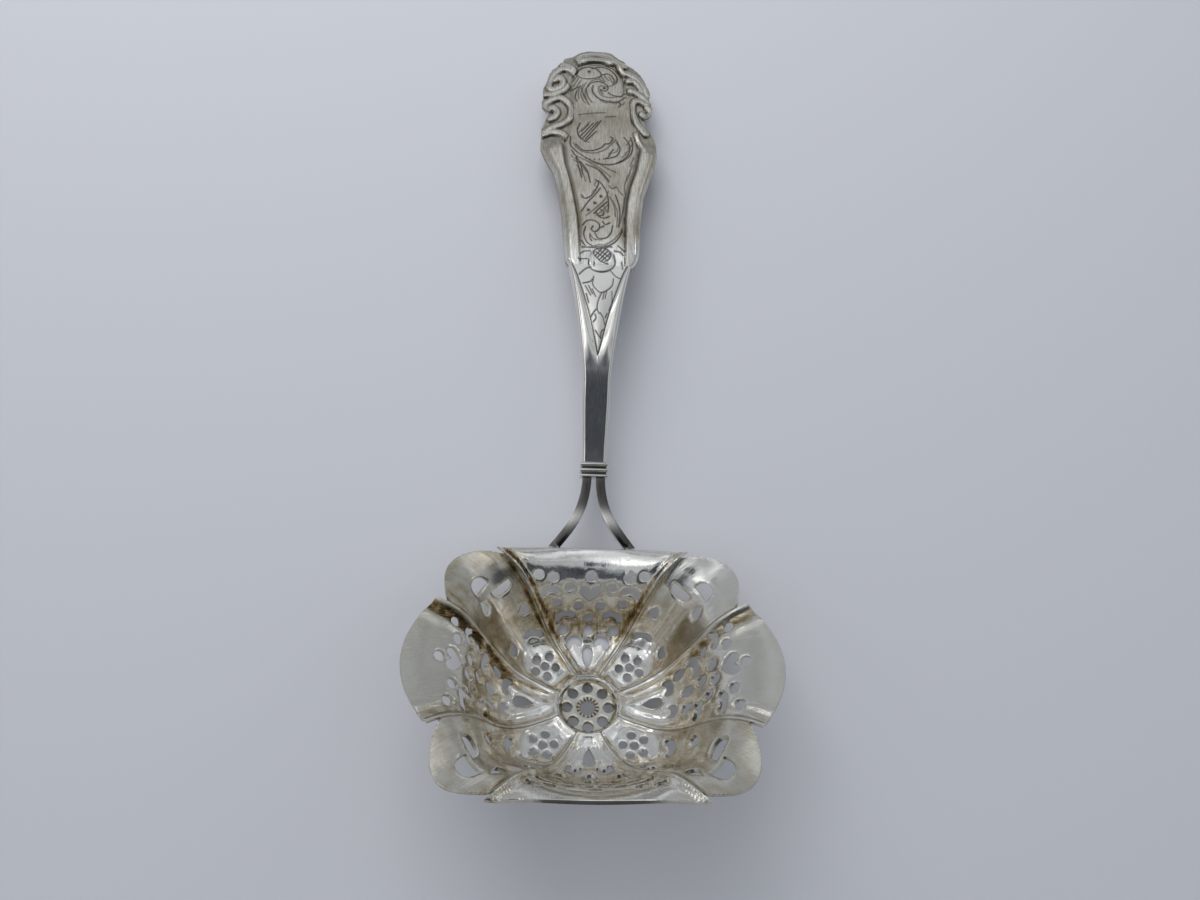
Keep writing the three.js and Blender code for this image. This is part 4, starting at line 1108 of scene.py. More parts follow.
PANEL_LINES = [
    [(-6.2, 51.2), (-5.2, 52.8), (-3.2, 53.6), (-1.2, 52.9), (-0.2, 51.6), (-0.8, 50.6), (-2.8, 50.1),
     (-4.8, 50.2), (-6.2, 51.2)],
    [(-2.5, 53.1), (-0.1, 53.7), (2.2, 52.9), (3.7, 50.9), (3.4, 49.2)],
    [(0, 51.4), (1.6, 51.8), (2.9, 50.4), (2.7, 48.7)],
    [(-3.8, 47), (-2.9, 48.7), (-0.8, 49.4), (1, 48.7), (1.5, 47.6), (0.7, 46.7), (-0.4, 47.2), (0.2, 45.9)],
    [(-2.1, 48.2), (-2.1, 46.4), (-0.7, 44.6), (1.6, 43.7), (3.9, 44), (5.4, 45.2)],
    [(-4.8, 47.4), (-4.2, 45.2), (-3, 42.7)], [(-3.8, 47.2), (-3.3, 45), (-2.3, 43.4)],
    [(-5.9, 46.5), (-6.3, 44.8), (-5.9, 43.6)], [(-5.1, 47.8), (-6.5, 47), (-7.4, 46.2)],
    [(1.6, 46.4), (2.7, 45.7), (4.5, 45.6), (5.5, 46.5)], [(3.9, 44), (4.5, 43.3), (4.1, 42.5)],
    [(-5, 37.4), (-5.6, 35.6), (-5.2, 33.7), (-3.8, 32.4)],
    [(-4.9, 33.7), (-1.9, 37.5)], [(-4.3, 33.2), (-0.9, 37.9)], [(-3.7, 32.9), (-0.1, 38.3)],
    [(-4.7, 35), (-3, 37.1)], [(-3.8, 32.2), (-1.2, 35.2)],
    [(-7.2, 33.6), (-7.1, 31.2), (-5.1, 29), (-1.9, 27), (1.4, 26.2), (4.6, 27.2), (6.9, 29.5), (7.4, 32.3),
     (6.9, 34.2)],
    [(-5.8, 31.4), (-4.2, 29.9), (-1.9, 29.9), (0, 30.8), (0.8, 31.8), (2, 32.1), (2.7, 33.5), (2.2, 33.9)],
    [(3.6, 32.8), (4.4, 30.9), (3.7, 28.9), (2.1, 28.1), (0.9, 27.8)],
    [(2.8, 30.5), (2.1, 29.3), (1.7, 28.3)],
    [(5.4, 34.1), (6.6, 32.2), (6.5, 29.8), (5.2, 27.9), (3.3, 26.6)],
    [(-6.8, 29.8), (-4.8, 26.4), (-4.2, 23.4)], [(-4.8, 26.8), (-3.1, 24.3), (-2.4, 21.3)],
    [(-5.8, 27.9), (-5.1, 25.3), (-4.4, 22.6)], [(-3.5, 26.1), (-0.6, 24.8), (0.8, 23.4), (1.8, 21.9)],
    [(-0.5, 21.8), (0.5, 20.6), (1.4, 18.8), (1.8, 16.3), (1.7, 13.6)],
    [(-4.4, 17.9), (-3.4, 17), (-2, 17.9), (-1.1, 19.5), (-0.5, 21.3), (-1.2, 22.1)],
    [(-4.3, 13.6), (-3, 15.9), (-1.1, 18.3), (-0.1, 19.9)], [(-1.5, 13.1), (-0.1, 14.7), (1.5, 16.3)],
    [(-1.1, 13.4), (-0.4, 12.6), (0.6, 12.9), (0.8, 13.8), (0.2, 14.1)], [(-0.4, 12.4), (0.8, 12), (2, 12.5)],
    [(-4, 10), (-3, 11.2), (-1.4, 11.3), (-0.2, 10.3), (-0.4, 9), (-1.3, 8.4), (-2, 9.1), (-1.6, 9.9)],
    [(-3.3, 9.7), (-3.7, 7.8), (-2.9, 5.7), (-1, 4.6), (1.5, 4.8), (3.5, 6.2), (4.7, 8.3), (4.9, 9.5)],
    [(-2.3, 7.9), (-2.3, 6.9), (-1.9, 6.1)], [(-1.2, 8.1), (-0.4, 6.8), (1.3, 6.9), (2.4, 8.3), (2.8, 10.2)],
    [(0.5, 11.1), (1.2, 10.4), (2.2, 10.9)], [(0.1, 9.5), (0.9, 10)],
    [(3.4, 18.3), (4.3, 15.3), (4.4, 12), (4.1, 10.1)], [(-4.1, 4.4), (-1.9, 4.4), (0.3, 4.2), (2.5, 4.9)],
    [(-4.2, 6.2), (-3.3, 4.8)], [(4.1, 5.1), (5.4, 3.9)],
]
# Finer lines: leaf hatching, second contours and stipple
FINE_LINES = [
    [(0.8, 54.1), (3, 53.2), (4.7, 51), (5.3, 48.2), (5.1, 46.1)],
    [(3.6, 50.9), (3, 49), (1.3, 48.1), (-0.4, 48.2), (-0.8, 47.2), (-0.2, 45.7), (1.7, 45), (4.3, 45.5),
     (6, 45.4)],
    [(-3.2, 47.8), (-2.6, 49.4), (-0.9, 50), (0.6, 49.4)],
    [(-2.5, 47.6), (-2.1, 46), (-0.8, 44.6), (1.3, 44), (3.4, 43.9)], [(1.7, 51), (2.5, 49.5)],
    [(2.3, 51.3), (3, 50)], [(0.4, 51.4), (1.7, 49.9)], [(-0.2, 51.1), (0.8, 49.4)],
    [(-0.9, 50.8), (0.1, 49.3)], [(-6.8, 47.7), (-5.6, 50.2)], [(-6.1, 47.5), (-4.9, 49.7)],
    [(-7.2, 48.7), (-6, 50.7)], [(-3.8, 49), (-4.9, 46.3), (-4.6, 44.3), (-3.8, 43.1)],
    [(-4.5, 48.4), (-5.5, 46.3), (-5.5, 44.2)], [(-5.1, 48.1), (-6.1, 46), (-6.3, 44.4)],
    [(-3.2, 48.5), (-4, 46.1), (-3.6, 44.1)],
    [(-0.8, 44.6), (0.9, 43.4), (2.1, 44.1), (3, 43.3), (4.1, 43.9), (4.9, 43.2), (5.5, 44.1)],
    [(-5.4, 39.7), (-2, 40.3), (0.9, 40.6)], [(0.9, 39.4), (3.4, 39.8)], [(-5.3, 34.7), (-2.8, 37.8)],
    [(-5.7, 35.9), (-5.3, 34.2), (-4.2, 32.8), (-2.8, 32.1)],
    [(-6.5, 31.9), (-4.8, 29.8), (-1.9, 29.2), (0.6, 30.1), (2.2, 31.7), (3.5, 33.3)],
    [(-6.4, 28.7), (-3.1, 27), (0.6, 26.2), (4.3, 27), (6.4, 28.8)],
    [(1.8, 29.3), (3.5, 29.9), (4.1, 31.4), (3.5, 32.3)], [(6, 32), (6.8, 33.5)], [(6.4, 31), (7.3, 32.3)],
    [(5.5, 29.5), (6.8, 30.8)], [(4.9, 28.5), (6, 29.5)],
    [(-6.8, 28.2), (-5.2, 26.8), (-3.9, 25.5), (-2.7, 23.1)], [(-6.4, 27.2), (-4.5, 25.9), (-3.3, 24)],
    [(-5.6, 25.8), (-4.3, 24), (-3.5, 21.6)], [(-3.1, 27), (-1, 25.2), (0.6, 23.3), (1.9, 21.5)],
    [(-1.5, 26.1), (0.6, 24.5), (2.3, 23)], [(-0.2, 26.2), (1.8, 25.1), (3.5, 24.3)],
    [(1.9, 20.6), (2.7, 19.9), (3.7, 20.4), (4.3, 19.3), (5.1, 18.4)],
    [(-1, 21.8), (-1.4, 20.6), (-0.8, 19.9), (-1.8, 18.9), (-2.2, 17.7), (-3.4, 17.1), (-4.4, 17.3)],
    [(-3.3, 12.5), (-0.9, 14.7), (1.1, 17.2), (1.7, 19.1)], [(-0.9, 12.6), (0.7, 14.3), (1.7, 15.6)],
    [(-0.9, 13.5), (-0.1, 12.4)], [(-0.1, 14.5), (0.7, 12.7)], [(0.7, 15.3), (1.3, 13.9)],
    [(2.7, 16.8), (3.7, 14.5), (3.9, 12.2), (3.7, 9.9)], [(2.1, 17.7), (3.1, 15.4), (3.5, 12.6)],
    [(5.5, 17.9), (5.3, 15.1), (4.7, 12.3), (4.3, 9.9)], [(6.2, 23.7), (5.5, 20.8), (5.7, 18.4)],
    [(6.8, 24.7), (6, 22.3)], [(7.4, 26.7), (6.4, 23.7)], [(7.6, 28.7), (6.8, 26.2)],
    [(-4.2, 4.6), (-2, 4.5), (-0, 5.1), (2.7, 4.6)], [(1.2, 5.1), (3.1, 6.6), (4.7, 8.8)],
    [(-2.1, 7.5), (-1.3, 6.5), (0.3, 6.4)],
]
STIPPLE = [(-3.5, 27.7), (-2.5, 27.5), (-1.5, 27.5), (-0.4, 27.6), (0.6, 27.8), (1.4, 28.1)]
PANEL_DOTS = [(-2.7, 14), (-1.3, 15.9), (0.1, 17.7), (-3.1, 52.2), (0.6, 47.6)]
DOT_RADIUS, STIPPLE_RADIUS = 0.4, 0.2
# Engraving that runs from the stem's V over the shoulders: y from the shoulders
V_LINES = [
    [(-6.3, 0.6), (-4.9, -2.4), (-2.3, -10.4), (0, -20)], [(6.3, 0.6), (4.9, -2.4), (2.3, -10.4), (0, -20)],
]
V_FLOWER = [
    [(-4.6, -2.2), (-3.2, -0.8), (-2, -0.3)], [(-3.7, -4.2), (-2.1, -3.8), (-1.5, -3.1)],
    [(-1.3, -2.5), (-1.5, -4.4), (-0.5, -5.7), (0.5, -6.3), (1.8, -5.6), (2.8, -4.5), (3.1, -2.9)],
    [(0.5, -6.3), (-0.2, -8.2), (-0.4, -9.9), (0.1, -11)], [(2.8, -5.9), (2.8, -8.4), (2.2, -10.2)],
    [(-1.8, -11.8), (-1.1, -10.7), (-0.6, -10.1)], [(-1.2, -12.9), (-0.6, -12), (-0.9, -11.1)],
    [(0.3, -10.9), (0.9, -11.8), (1.3, -13.4)], [(-0.7, -14.8), (0, -15.8), (0.5, -16.5)],
    [(0.5, -16.4), (0.6, -15.1), (1, -14.5)], [(2.4, -1), (3.5, -2.2), (4.6, -2.8)],
    [(4.9, 1.3), (5.1, -0.5)],
    [(-3.1, -4.8), (-1.9, -6.9)], [(-2.4, -4.7), (-1.5, -6.6)], [(-1.6, -5.5), (-0.8, -7.2)],
    [(1.1, -6), (0.8, -7.8)], [(1.6, -5.9), (1.3, -7.6)], [(-2.9, -6.6), (-2.3, -8.6)],
    [(1.4, -11.9), (1.8, -10.9)],
    [(-2.5, 1.6), (-2.5, 0.3), (-1.9, -0.7), (-0.7, -1.3), (0.7, -1.4), (2, -1), (3.1, 0), (3.4, 1.5),
     (3.1, 2.9)],
    [(-1.4, 3), (-1.3, 3.9), (-0.5, 4.4), (0.6, 4.6), (1.6, 4.3), (2.3, 3.5), (2.3, 2.5), (1.9, 1.6),
     (1.1, 1.1)],
    [(-1.4, 3), (-0.7, 2), (0.2, 1.1), (1.1, 0.7), (1.8, 0.5)],
    [(-1.1, 2.4), (0.3, 4.3)], [(-0.7, 1.9), (1.2, 4.3)], [(-0.1, 1.5), (1.8, 3.9)], [(0.4, 1.2), (2.2, 3.2)],
    [(-0.9, 3.5), (1.6, 1.4)], [(-0.3, 4.1), (2.1, 2.2)], [(-1.3, 0.9), (-1.3, -0.1)],
    [(-4.8, 1.8), (-2.7, 1.8)],
    [(-4.2, 3.2), (-3.5, 3.7), (-2.2, 3.8)], [(3.3, 4), (4.6, 3.8), (5.2, 3.1)],
]
FINE_DEPTH, DOT_DEPTH = 0.7, 0.85  # shares of a main line's depth
SCROLL_HALF, SCROLL_RISE = 0.95, 0.7
SCROLL_REACH = 2.0  # past this the scrolls leave no mark
BORDER_RISE, BORDER_EDGE = 2.35, 1.75  # ground under the scrolls, by the panel and at the outline
BORDER_STEP = 0.35  # the ground starts lower than that, level with the panel
BORDER_START, PANEL_END = 31.5, 54.0
PANEL_DISH, RAIL_HOLLOW, CREST_SLOPE = 0.2, 0.3, 0.25
RAIL_STEP, RAIL_FLAT = 0.2, 0.5  # shares of a rail's width where its flat crest starts and ends
RAIL_FALL, RAIL_FOOT = 0.5, 9.0  # a rail falls by this share over this length towards the shoulders
STAIN_AND_SHADE_BANDS = [(0.2, 27, 8), (0.25, 39, 3.5)]  # bands across the panel: strength, place, width; the first, lower one is painted shade for a darker reflection, the second a brown stain
POLISHED_END = 9.0
# The third darkens the panel along the rails' inner feet as painted shade.
CREVICE_FILM, GROUND_FILM, RAIL_PAINTED_SHADE = 0.7, 0.3, 0.8
SCROLL_POLISH, RAIL_POLISH, CREST_POLISH = 0.8, 0.3, 0.7
INNER_DROP, INNER_GRID = 0.3, 1.0
HANDLE_GRID, HANDLE_WIDEST, HANDLE_CROWDING = 0.137, 27.0, 0.35
BACK_ROWS, BACK_COLUMNS = 150, 70
LEAST_WIDTH = 0.1


# A grid's shares along it, from 0 to 1, and across it, from -1 to 1, closer together at its edges.
def grid_shares(rows, columns, crowding):
    share, v = np.meshgrid(np.linspace(0, 1, rows), np.linspace(-1, 1, columns), indexing="ij")
    return share, np.sin(v * math.pi / 2) * crowding + v * (1 - crowding)


def by_side(x, y, left, right):
    return np.where(x < 0, along(left, y), along(right, y))


def handle_grid(rows, columns):
    share, v = grid_shares(rows, columns, HANDLE_CROWDING)
    y = share * HANDLE_LENGTH
    return v * by_side(v, y, LEFT_EDGE, RIGHT_EDGE), y, v


def end_round(y):
    share = held((y - HANDLE_LENGTH + TIP_ROUNDING) / TIP_ROUNDING)
    return np.sqrt(1 - share ** 2)


# A rail climbs from a hollow by the panel to a flat crest, and falls in a round to the outline.
def rail_height(reach, y):
    hollow = PANEL_RISE - RAIL_HOLLOW
    climb = hollow + (RAIL_RISE - hollow) * np.sin(held(reach / RAIL_STEP) * math.pi / 2)
    crest = RAIL_RISE - CREST_SLOPE * held(reach - RAIL_STEP)
    falling = np.sqrt(1 - held((reach - RAIL_FLAT) / (1 - RAIL_FLAT)) ** 2)
    rail = np.where(reach < RAIL_STEP, climb, SHELL_EDGE + (crest - SHELL_EDGE) * falling)
    lowered = 1 - RAIL_FALL + RAIL_FALL * np.sin(held(y / RAIL_FOOT) * math.pi / 2)
    return SHELL_EDGE + (rail - SHELL_EDGE) * lowered


def front_cuts(x, y):
    cut = np.maximum(engraved(PANEL_LINES, x, y), FINE_DEPTH * engraved(FINE_LINES, x, y))
    cut = np.maximum(cut, engraved(V_FLOWER, x, y + SEAT_GAP))
    for dots, radius in ((PANEL_DOTS, DOT_RADIUS), (STIPPLE, STIPPLE_RADIUS)):
        for dot_x, dot_y in dots:
            cut = np.maximum(cut, DOT_DEPTH * np.exp(-(np.hypot(x - dot_x, y - dot_y) / radius) ** 4))
    return cut


# Height of the stamped front above the seam, with its engraving, its film and painted shade, and its polish.
def front_relief(x, y):
    edge, foot = by_side(x, y, LEFT_EDGE, RIGHT_EDGE), by_side(x, y, LEFT_FOOT, RIGHT_FOOT)
    reach = held((np.abs(x) - foot) / np.maximum(edge - foot, LEAST_WIDTH))
    reach = np.maximum(reach, held((y - PANEL_END) / (HANDLE_LENGTH - PANEL_END)))
    panel = PANEL_RISE - PANEL_DISH * held(np.abs(x) / foot) ** 2
    ground = BORDER_RISE + (BORDER_EDGE - BORDER_RISE) * reach - BORDER_STEP * (1 - eased(reach, 0, 0.2))
    nearest = np.full(x.shape, SCROLL_REACH)
    for line in SCROLLS:
        nearest = np.minimum(nearest, gap_to(flowing(line), x, y, SCROLL_REACH))
    border = ground + SCROLL_RISE * np.sqrt(1 - held(nearest / SCROLL_HALF) ** 3)
    upper = eased(y + 0.12 * np.abs(x), BORDER_START - 1, BORDER_START + 2.5)
    outside = rail_height(reach, y) * (1 - upper) + border * upper
    height = np.where(reach > 0, outside, panel) + flower_dome(x, y + SEAT_GAP)
    cut = front_cuts(x, y)
    # Film lies in the crevices of the scrolls; along the rails' inner feet and in the lower band across the
    # panel the darkening is painted shade, and the other band is a brown stain
    crevice = hump(nearest, SCROLL_HALF, 0.25) + GROUND_FILM * eased(nearest, 0.9, 1.3)
    by_rail = hump(np.abs(x), foot - 0.2, 0.55) * (1 - 0.75 * upper) * (y < PANEL_END)
    film_and_shade = CREVICE_FILM * upper * (reach > 0) * crevice + RAIL_PAINTED_SHADE * by_rail
    stain_and_shade = sum(strength * hump(y, at, width) for strength, at, width in STAIN_AND_SHADE_BANDS)
    film_and_shade = np.maximum(film_and_shade, stain_and_shade * (reach <= 0)) * eased(y, 1, POLISHED_END)
    # Hands have polished the crests of the scrolls and rails, and the end by the shoulders
    crest = SCROLL_POLISH * upper * (reach > 0) * hump(nearest, 0, 0.4)
    crest = np.maximum(crest, RAIL_POLISH * (1 - upper) * (reach > 0.1) * (1 - eased(reach, 0.3, 0.7)))
    polish = np.maximum(CREST_POLISH * crest, 1 - eased(y, 2, POLISHED_END))
    return height - ENGRAVED_DEPTH * cut, {"engraving_and_shade": cut, "film_and_shade": held(film_and_shade), "polish": polish}


def ring_edges(count):
    return [(i, (i + 1) % count) for i in range(count)]


# A face inside a shell: its edge follows the shell's outline, and its middle has only a few points.
def inner_face(outline, height):
    low, high = outline.min(0), outline.max(0)
    grid = np.meshgrid(np.arange(low[0], high[0], INNER_GRID), np.arange(low[1], high[1], INNER_GRID))
    grid = np.stack(grid, -1).reshape(-1, 2)
    middle = grid[inside(outline, grid) & (corner_gaps(outline, grid) > INNER_GRID / 2)]
    plan = np.concatenate([outline, middle])
    faces = triangulated(plan, ring_edges(len(outline)), True, 1e-6)
    level = np.concatenate([np.full(len(outline), SEAT_GAP / 2), height(middle)])
    return np.column_stack([plan, level]), faces


# A shell of the handle: the worked outer face, a plain inner face, and the narrow seam between them.
# The back is the same with its heights turned down.
def handle_shell(x, y, height, down=False):
    index, quads = grid_faces(*x.shape)
    loop = np.concatenate([index[0], index[1:, -1], index[-1, -2::-1], index[-2:0:-1, 0]])
    outline = np.stack([x.ravel()[loop], y.ravel()[loop]], -1)
    belly = BACK_BELLY if down else PANEL_RISE - INNER_DROP

    def hollow(plan):
        v = plan[:, 0] / by_side(plan[:, 0], plan[:, 1], LEFT_EDGE, RIGHT_EDGE)
        pillow = np.sqrt(held(1 - np.abs(v) ** 4)) * end_round(plan[:, 1])
        return SEAT_GAP / 2 + (belly - SHELL_SHEET - SEAT_GAP / 2) * pillow

    inner, inner_faces = inner_face(outline, hollow)
    count = index.size
    faces = quads.tolist() + (inner_faces[:, ::-1] + count).tolist()
    faces += [[count + i, count + j, int(loop[j]), int(loop[i])] for i, j in ring_edges(len(loop))]
    points = np.concatenate([np.stack([x, y, height], -1).reshape(-1, 3), inner])
    if down:
        points[:, 2] *= -1
        faces = [face[::-1] for face in faces]
    return handle_place(points), faces


def front_shell():
    x, y, _ = handle_grid(int(HANDLE_LENGTH / HANDLE_GRID), int(HANDLE_WIDEST / HANDLE_GRID))
    height, marks = front_relief(x, y)
    points, faces = handle_shell(x, y, SHELL_EDGE + (height - SHELL_EDGE) * end_round(y))
    blank = np.zeros(len(points) - x.size)
    return points, faces, {name: np.concatenate([mark.ravel(), blank]) for name, mark in marks.items()}


def back_shell():
    x, y, v = handle_grid(BACK_ROWS, BACK_COLUMNS)
    height = SHELL_EDGE + (BACK_BELLY - SHELL_EDGE) * np.sqrt(1 - v ** 2) * end_round(y)
    points, faces = handle_shell(x, y, height, down=True)
    return resting(points), faces, {}


STEM_ROWS, STEM_COLUMNS, STEM_CROWDING = 330, 90, 0.4
STEM_EDGE = 0.65
V_START = V_LINES[0][-1][1]
V_BORDER, V_CROWN = 0.3, 0.3
STEM_EXTRA = 0.3  # wider than the part's stem by this
STEM_BROAD, STEM_ARCH = 0.7, 0.6  # broader than that in its middle, and arched above its ends
SEAM_SHARE = 0.9  # how much of the gap to the handle is closed
FLOWER_AT, FLOWER_RADIUS, FLOWER_RISE = (0.4, 1.6), 3.0, 0.3


# The flower's round middle swells over the joint of the stem and the handle: y from the shoulders.
def flower_dome(x, y):
    reach = np.hypot(x - FLOWER_AT[0], y - FLOWER_AT[1]) / FLOWER_RADIUS
    return FLOWER_RISE * held(1 - reach ** 2) ** 0.6


def stem_plate():
    share, v = grid_shares(STEM_ROWS, STEM_COLUMNS, STEM_CROWDING)
    y = STEM_Y + (STEM_LENGTH + SEAM_SHARE * SEAT_GAP) * share
    back = y - SHOULDER_Y
    flare = stem_flare(y)
    narrow = STEM_WIDTH + STEM_EXTRA
    broad = STEM_BROAD * eased(share, 0, 0.35) * (1 - eased(share, 0.6, 1))
    half = (narrow + broad + (SHOULDER_WIDTH - narrow) * flare) / 2
    x = v * half
    v_line = along([(place, reach) for reach, place in reversed(V_LINES[1])], back)
    reach = held((np.abs(x) - v_line) / np.maximum(half - v_line, LEAST_WIDTH))
    opened = eased(back, V_START - 3, V_START + 6)
    swell = V_BORDER * np.sin(reach * math.pi) ** 1.5 * opened
    crown = V_CROWN * held(1 - (x / np.maximum(v_line, LEAST_WIDTH)) ** 2) * opened
    crown = crown * (1 - eased(back, -8, 0))
    rounded = STEM_EDGE * (1 - np.sqrt(1 - (1 - held((half - np.abs(x)) / STEM_EDGE)) ** 2))
    cut = engraved(V_FLOWER + V_LINES, x, back)
    arch = STEM_ARCH * share ** 2 * (1 - share) * 27 / 4  # highest at two thirds
    growth = (SHOULDER_THICKNESS - STEM_THICKNESS) / 2
    upper = STEM_THICKNESS / 2 + growth * eased(share, 0.05, 0.6) + arch + swell + crown
    upper = upper + flower_dome(x, back) - rounded - ENGRAVED_DEPTH * cut
    lower = arch - STEM_THICKNESS / 2 - growth * flare + rounded
    lean, middle = HANDLE_PITCH * flare, stem_height(y)
    sides = [np.stack([x, y + h * np.sin(lean), middle + h * np.cos(lean)], -1) for h in (upper, lower)]
    points, faces = slab(*sides)
    satin = (opened * (reach <= 0)).ravel()
    return points, faces, {
        "engraving_and_shade": np.concatenate([cut.ravel(), np.zeros(x.size)]), "satin": np.concatenate([satin, satin])}


# Drawn and polished silver bar: nearly a mirror, with fine lines along it from the drawplate and files.
# The lines are drawn coarser than they are, so that they show.
def drawn_silver():
    material, tree, shader = new_material("drawn_polished_silver")
    place = node(tree, "TexCoord", {}, "Object")
    cut = node(tree, "Attribute", {}, "Fac", attribute_name="engraving_and_shade")
    satin = node(tree, "Attribute", {}, "Fac", attribute_name="satin")
    # The dark end of the ramp serves the engraved lines, the collar's grooves and the painted shade on the
    # prongs' tops.
    colour = node(tree, "ValToRGB", {"Fac": cut})
    for element, tone in zip(colour.node.color_ramp.elements, ("#e6e4df", "#2a2723")):
        element.color = linear(tone)
    stretched = node(tree, "Mapping", {
        "Vector": place, "Scale": (1 / (0.25 * MM), 1 / (6 * MM), 1 / (0.25 * MM))})
    lines = node(tree, "TexNoise", {"Vector": stretched, "Scale": 1.0, "Detail": 2.0})
    rough = node(tree, "MapRange", {"Value": lines, "To Min": 0.06, "To Max": 0.16})
    dull = node(tree, "Math", {0: satin, 1: 0.2, 2: rough}, operation="MULTIPLY_ADD")
    bump = node(tree, "Bump", {"Height": lines, "Distance": 0.008 * MM, "Strength": 0.5})
    plug(tree, shader, {"Base Color": colour, "Metallic": 1.0, "Roughness": dull, "Normal": bump})
    return material


# Stamped satin silver: soft greyish gleam, dark oxide in the engraved lines, a brown film round the
# # scrolls, painted shade in the same brown along the rails' inner feet and across the lower panel, and
# brighter
# # crests where hands have rubbed it. Its grain and its rubbing marks are drawn coarser than they are, so
# that they show.
def stamped_silver():
    material, tree, shader = new_material("stamped_satin_silver")
    place = node(tree, "TexCoord", {}, "Object")
    cut, film_and_shade, polish = (
        node(tree, "Attribute", {}, "Fac", attribute_name=name) for name in ("engraving_and_shade", "film_and_shade", "polish"))
    blotch = node(tree, "TexNoise", {"Vector": place, "Scale": 1 / (6 * MM), "Detail": 4.0})
    warm = node(tree, "ValToRGB", {"Fac": blotch})
    tones = ((0.35, "#b9b3a3"), (0.65, "#d4d0c6"))
    for element, (position, tone) in zip(warm.node.color_ramp.elements, tones):
        element.position, element.color = position, linear(tone)
    clean = node(tree, "Mix", {"Factor": polish, 6: warm, 7: linear("#eeece7")}, 2, data_type="RGBA")
    brown = node(tree, "Mix", {"Factor": film_and_shade, 6: clean, 7: linear("#6d6455")}, 2, data_type="RGBA")
    stroked = node(tree, "Mapping", {
        "Vector": place, "Scale": (1 / (0.3 * MM), 1 / (2.2 * MM), 1 / (0.6 * MM))})
    specks = node(tree, "TexNoise", {"Vector": stroked, "Scale": 1.0, "Detail": 4.0, "Roughness": 0.65})
    rubbed = node(tree, "MapRange", {
        "Value": specks, "From Min": 0.35, "From Max": 0.6, "To Min": 0.72, "To Max": 1.06})
    worn = node(tree, "Mix", {
        "Factor": 1.0, 6: brown, 7: rubbed}, 2, data_type="RGBA", blend_type="MULTIPLY")
    dark = node(tree, "Mix", {"Factor": cut, 6: worn, 7: linear("#1f1d19")}, 2, data_type="RGBA")
    grain = node(tree, "TexNoise", {"Vector": place, "Scale": 1 / (0.35 * MM), "Detail": 3.0})
    rough = node(tree, "MapRange", {"Value": grain, "To Min": 0.26, "To Max": 0.35})
    smooth = node(tree, "Math", {0: polish, 1: -0.2, 2: rough}, operation="MULTIPLY_ADD")
    bump = node(tree, "Bump", {"Height": grain, "Distance": 0.02 * MM, "Strength": 0.12})
    plug(tree, shader, {"Base Color": dark, "Metallic": 1.0, "Roughness": smooth, "Normal": bump})
    return material


# Chaser's pitch: dark brown, dull and slightly lumpy.
def pitch_cement():
    material, tree, shader = new_material("pitch_cement")
    place = node(tree, "TexCoord", {}, "Object")
    lumps = node(tree, "TexNoise", {"Vector": place, "Scale": 1 / (1.5 * MM), "Detail": 4.0})
    colour = node(tree, "ValToRGB", {"Fac": lumps})
    for element, tone in zip(colour.node.color_ramp.elements, ("#33261a", "#5a4733")):
        element.color = linear(tone)
    bump = node(tree, "Bump", {"Height": lumps, "Distance": 0.2 * MM, "Strength": 0.5})
    plug(tree, shader, {"Base Color": colour, "Roughness": 0.85, "Normal": bump})
    return material


# The prongs' flat tops are darkened with painted shade, for the dark reflection that they show, and a painted
# # highlight brightens them round their middle: strength, place and width. The collar is dark in its grooves.
PRONG_PAINTED_SHADE, PRONG_TOP, PRONG_PAINTED_HIGHLIGHT = 0.91, (0.88, 0.98), (0.65, 0.57, 0.11)
GROOVE_DARK = 0.95

drawn_bar, stamped = drawn_silver(), stamped_silver()
for side, name in ((-1, "left_prong"), (1, "right_prong")):
    wire = extruded_bar(name.replace("prong", "fork_wire"), prong_sections(side), PRONG_ROUNDING,
                        drawn_bar, name)
    shares = np.array([(COLLAR_Y + ORIGIN[1] - v.co.y / MM) / FORK_LENGTH for v in wire.data.vertices])
    tops = np.array([v.normal.z for v in wire.data.vertices])
    # a painted highlight round the middle of each prong, over the painted shade on its top
    rubbed = 1 - PRONG_PAINTED_HIGHLIGHT[0] * hump(shares, *PRONG_PAINTED_HIGHLIGHT[1:])
    set_values(wire, "engraving_and_shade", PRONG_PAINTED_SHADE * eased(tops, *PRONG_TOP) * rubbed)
collar = extruded_bar("beaded_collar", collar_sections(), COLLAR_ROUNDING,
                      drawn_bar, "stem_collar")
shares = [((v.co.y / MM - ORIGIN[1]) - COLLAR_Y) / COLLAR_LENGTH for v in collar.data.vertices]
set_values(collar, "engraving_and_shade", [GROOVE_DARK * (1 - collar_bead(share)) ** 0.9 for share in shares])
add_piece("flared_stem", stem_plate(), drawn_bar, "stem_bar")
add_piece("scroll_front", front_shell(), stamped, "handle_front_shell", SCROLL_SMOOTH_ANGLE)
add_piece("plain_back", back_shell(), stamped, "handle_back_shell", BACK_SMOOTH_ANGLE)
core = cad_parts["handle_core"]
core.data.materials.clear()
core.data.materials.append(pitch_cement())

# Floor, studio light and world

FLOOR_COLOUR, FLOOR_SIZE = "#d3d5db", 8.0


def add_floor():
    bpy.ops.object.select_all(action="DESELECT")
    bpy.ops.mesh.primitive_plane_add(size=FLOOR_SIZE, location=(0, 0, 0))
    floor = bpy.context.object
    floor.name = "floor"
    material, tree, shader = new_material("pale_paper")
    plug(tree, shader, {"Base Color": linear(FLOOR_COLOUR), "Roughness": 0.9, "Specular IOR Level": 0.2})
    floor.data.materials.append(material)


